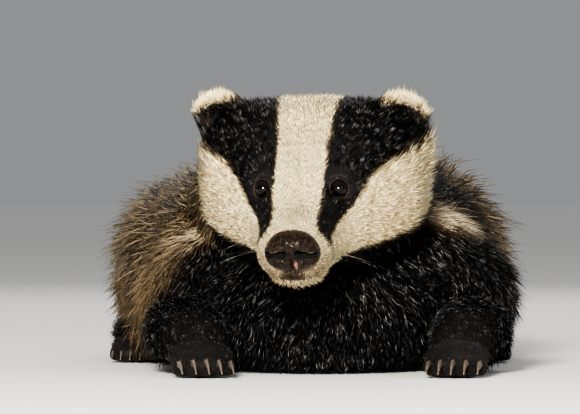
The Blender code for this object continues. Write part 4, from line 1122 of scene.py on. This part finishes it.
def makeNose():
    nose = loft("nose", lambda along, angle: headPoint(along, angle, noseForm), *noseShape["ends"], 44, 72)
    tools = []
    for side in (-1, 1):
        for key, turn in (("nostril", 0), ("slit", side * noseShape["slitTurn"])):
            x, y, z = noseShape[key]
            tools.append(ellipsoid(key, (side * x, y, z), noseShape[key + "Size"], turnBy(turn, "Y")))
    tools.append(ellipsoid("philtrum", noseShape["philtrum"], noseShape["philtrumSize"]))
    for tool in tools:
        cutBy(nose, tool)
    applied(nose, "remesh", "REMESH", mode="VOXEL", voxel_size=noseShape["voxel"], adaptivity=0.0)
    co = relaxed(*meshArrays(nose.data), 5, lambda i: 0.6)
    # painted shade: the nostrils, the slits and their rims are darkened, and made rougher
    deep = np.zeros(len(co))
    for side in (-1, 1):
        for key in ("nostril", "slit"):
            x, y, z = noseShape[key]
            off = np.linalg.norm((co - (side * x, y, z)) / noseShape[key + "Size"], axis=1)
            deep = np.maximum(deep, 1 - ease(off, 1.1, 1.36))
    co[:, 0] *= 1 - noseShape["pinch"] * ease(co[:, 2], -0.001, 0.006)  # the wings are wider than the dome
    co[:, 0] = co[:, 0] * noseShape["widen"] + noseShape["aside"]
    pink = np.zeros(len(co))
    for x, y, z, wide, tall, strength in noseSpots:
        off = np.linalg.norm((co - (x, y, z)) / (wide, 0.006, tall), axis=1)
        pink = np.maximum(pink, strength * (1 - ease(off, 0.4, 1.2)))
    setPoints(nose.data, placed(co, headPlace))
    store(nose, "pink", pink)
    store(nose, "deep", deep)
    return dressed(normalsOut(nose), "nose")


# whiskers

whiskerShape = {"count": 6, "length": (0.014, 0.036), "radius": 0.00012, "steps": 9, "seed": 8}


def makeWhiskers(tree):
    chance = random.Random(whiskerShape["seed"])
    points, faces = [], []
    turn, steps = headPlace.to_3x3(), whiskerShape["steps"]

    def hair(root, way, length, sag):
        across = way.cross(Vector((0, 0, 1))).normalized()
        upward = across.cross(way).normalized()
        faces.extend(tuple(len(points) + i for i in face) for face in ringFaces(steps, 3))
        for k in range(steps):
            t = k / (steps - 1)
            centre = root + way * (length * t) + Vector((0, 0, -sag * length * t * t))
            radius = whiskerShape["radius"] * (1 - 0.85 * t)
            points.extend(centre + across * (radius * math.cos(a)) + upward * (radius * math.sin(a))
                          for a in (0, 2.094, 4.189))

    for side in (-1, 1):
        for k in range(whiskerShape["count"]):
            start = Vector((side * 0.06, 0.048 + 0.030 * chance.random(), -0.003 - 0.014 * chance.random()))
            root = tree.ray_cast(headPlace @ start, turn @ Vector((-side, 0, 0)))[0]
            way = Vector((side * (0.75 + 0.4 * chance.random()), 0.15 - 0.5 * chance.random(),
                          -0.35 + 0.3 * chance.random()))
            way = (turn @ way).normalized()
            length = chance.uniform(*whiskerShape["length"])
            hair(root - way * 0.001, way, length, 0.10 + 0.15 * chance.random())
    return dressed(normalsOut(meshObject("whiskers", points, faces)), "whisker", smooth=False)


# everything together

def build():
    skin, labels = makeSkin()
    coatPlan(skin, labels)
    unwrap(skin)
    dressed(skin, "skin")
    print("skin planned and unwrapped")
    group = coatGroup()
    coat = [growCoat(skin, group, name, region, settings)
            for region, (name, settings) in enumerate(coatSettings.items())]
    eyes = [makeEye("eyeballLeft", 1), makeEye("eyeballRight", -1)]
    nose = makeNose()
    whiskers = makeWhiskers(treeOf(skin))
    print("eyes, nose and whiskers made")
    return skin, coat, eyes, nose, whiskers


skin, coat, eyes, nose, whiskers = build()

separate = ("nose", "eye_left", "eye_right")
flesh = [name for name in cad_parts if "claw" not in name and name not in separate]
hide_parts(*flesh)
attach(skin, "root")
for piece in coat:
    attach(piece, "root")
for piece, node in zip(eyes, ("eye_left", "eye_right")):
    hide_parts(node)
    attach(piece, "root")
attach(whiskers, "root")
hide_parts("nose")
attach(nose, "root")
for name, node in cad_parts.items():
    if "claw" in name:
        for place in node.material_slots:
            place.material = materials["claw"]


# floor, light and camera


def floorLook(graph):
    fine = graph.noise(graph.place(), 60.0, 3.0)
    return {"Base Color": graph.mix(fine, colour(0.8, 0.795, 0.78), colour(0.84, 0.835, 0.82))}


floorSize = {"reach": 40, "thick": 0.02}
floor = ellipsoid("floor", (0, 0, -0.01), (floorSize["reach"], floorSize["reach"], 0.01), None, None, 64, 4)
for vertex in floor.data.vertices:
    vertex.co.z = 0.0 if vertex.co.z > -0.011 else -floorSize["thick"]
floor.data.materials.append(makeMaterial("floorPale", floorLook, 0.85))

world = bpy.data.worlds.new("studio")
bpy.context.scene.world = world
world.use_nodes = True
background = world.node_tree.nodes["Background"].inputs
background["Color"].default_value = colour(0.7, 0.71, 0.72)
background["Strength"].default_value = 0.37


def areaLight(name, place, target, size, power, tint):
    data = bpy.data.lights.new(name, "AREA")
    data.shape, data.size, data.size_y, data.energy, data.color = "RECTANGLE", size[0], size[1], power, tint
    made = linked(name, data)
    made.location = place
    made.rotation_euler = (Vector(target) - Vector(place)).to_track_quat("-Z", "Y").to_euler()


areaLight("key", (-0.4, -3.4, 1.0), (0, -0.2, 0.09), (0.5, 0.5), 300, (1.0, 0.955, 0.875))
areaLight("fill", (2.0, -1.8, 1.3), (0, -0.1, 0.08), (1.6, 1.6), 16, (0.96, 0.98, 1.0))
areaLight("rim", (0.3, 2.2, 1.6), (0, 0.0, 0.1), (1.6, 0.8), 14, (1.0, 0.98, 0.95))

sun = bpy.data.lights.new("soft", "SUN")
sun.energy, sun.angle = 0.24, math.radians(70)
softLight = linked("soft", sun)
softLight.rotation_euler = (math.radians(18), math.radians(-12), 0)

view = {"place": (-0.0135, -3.745, 0.114), "lens": 354, "sensor": 36, "far": 60, "down": 0.17}
cameraData = bpy.data.cameras.new("camera")
cameraData.lens, cameraData.sensor_width, cameraData.clip_end = view["lens"], view["sensor"], view["far"]
camera = linked("camera", cameraData)
camera.location = view["place"]
camera.rotation_euler = (math.radians(90 - view["down"]), 0, 0)
bpy.context.scene.camera = camera
bpy.context.scene.view_settings.look = "AgX - High Contrast"
print("scene set")
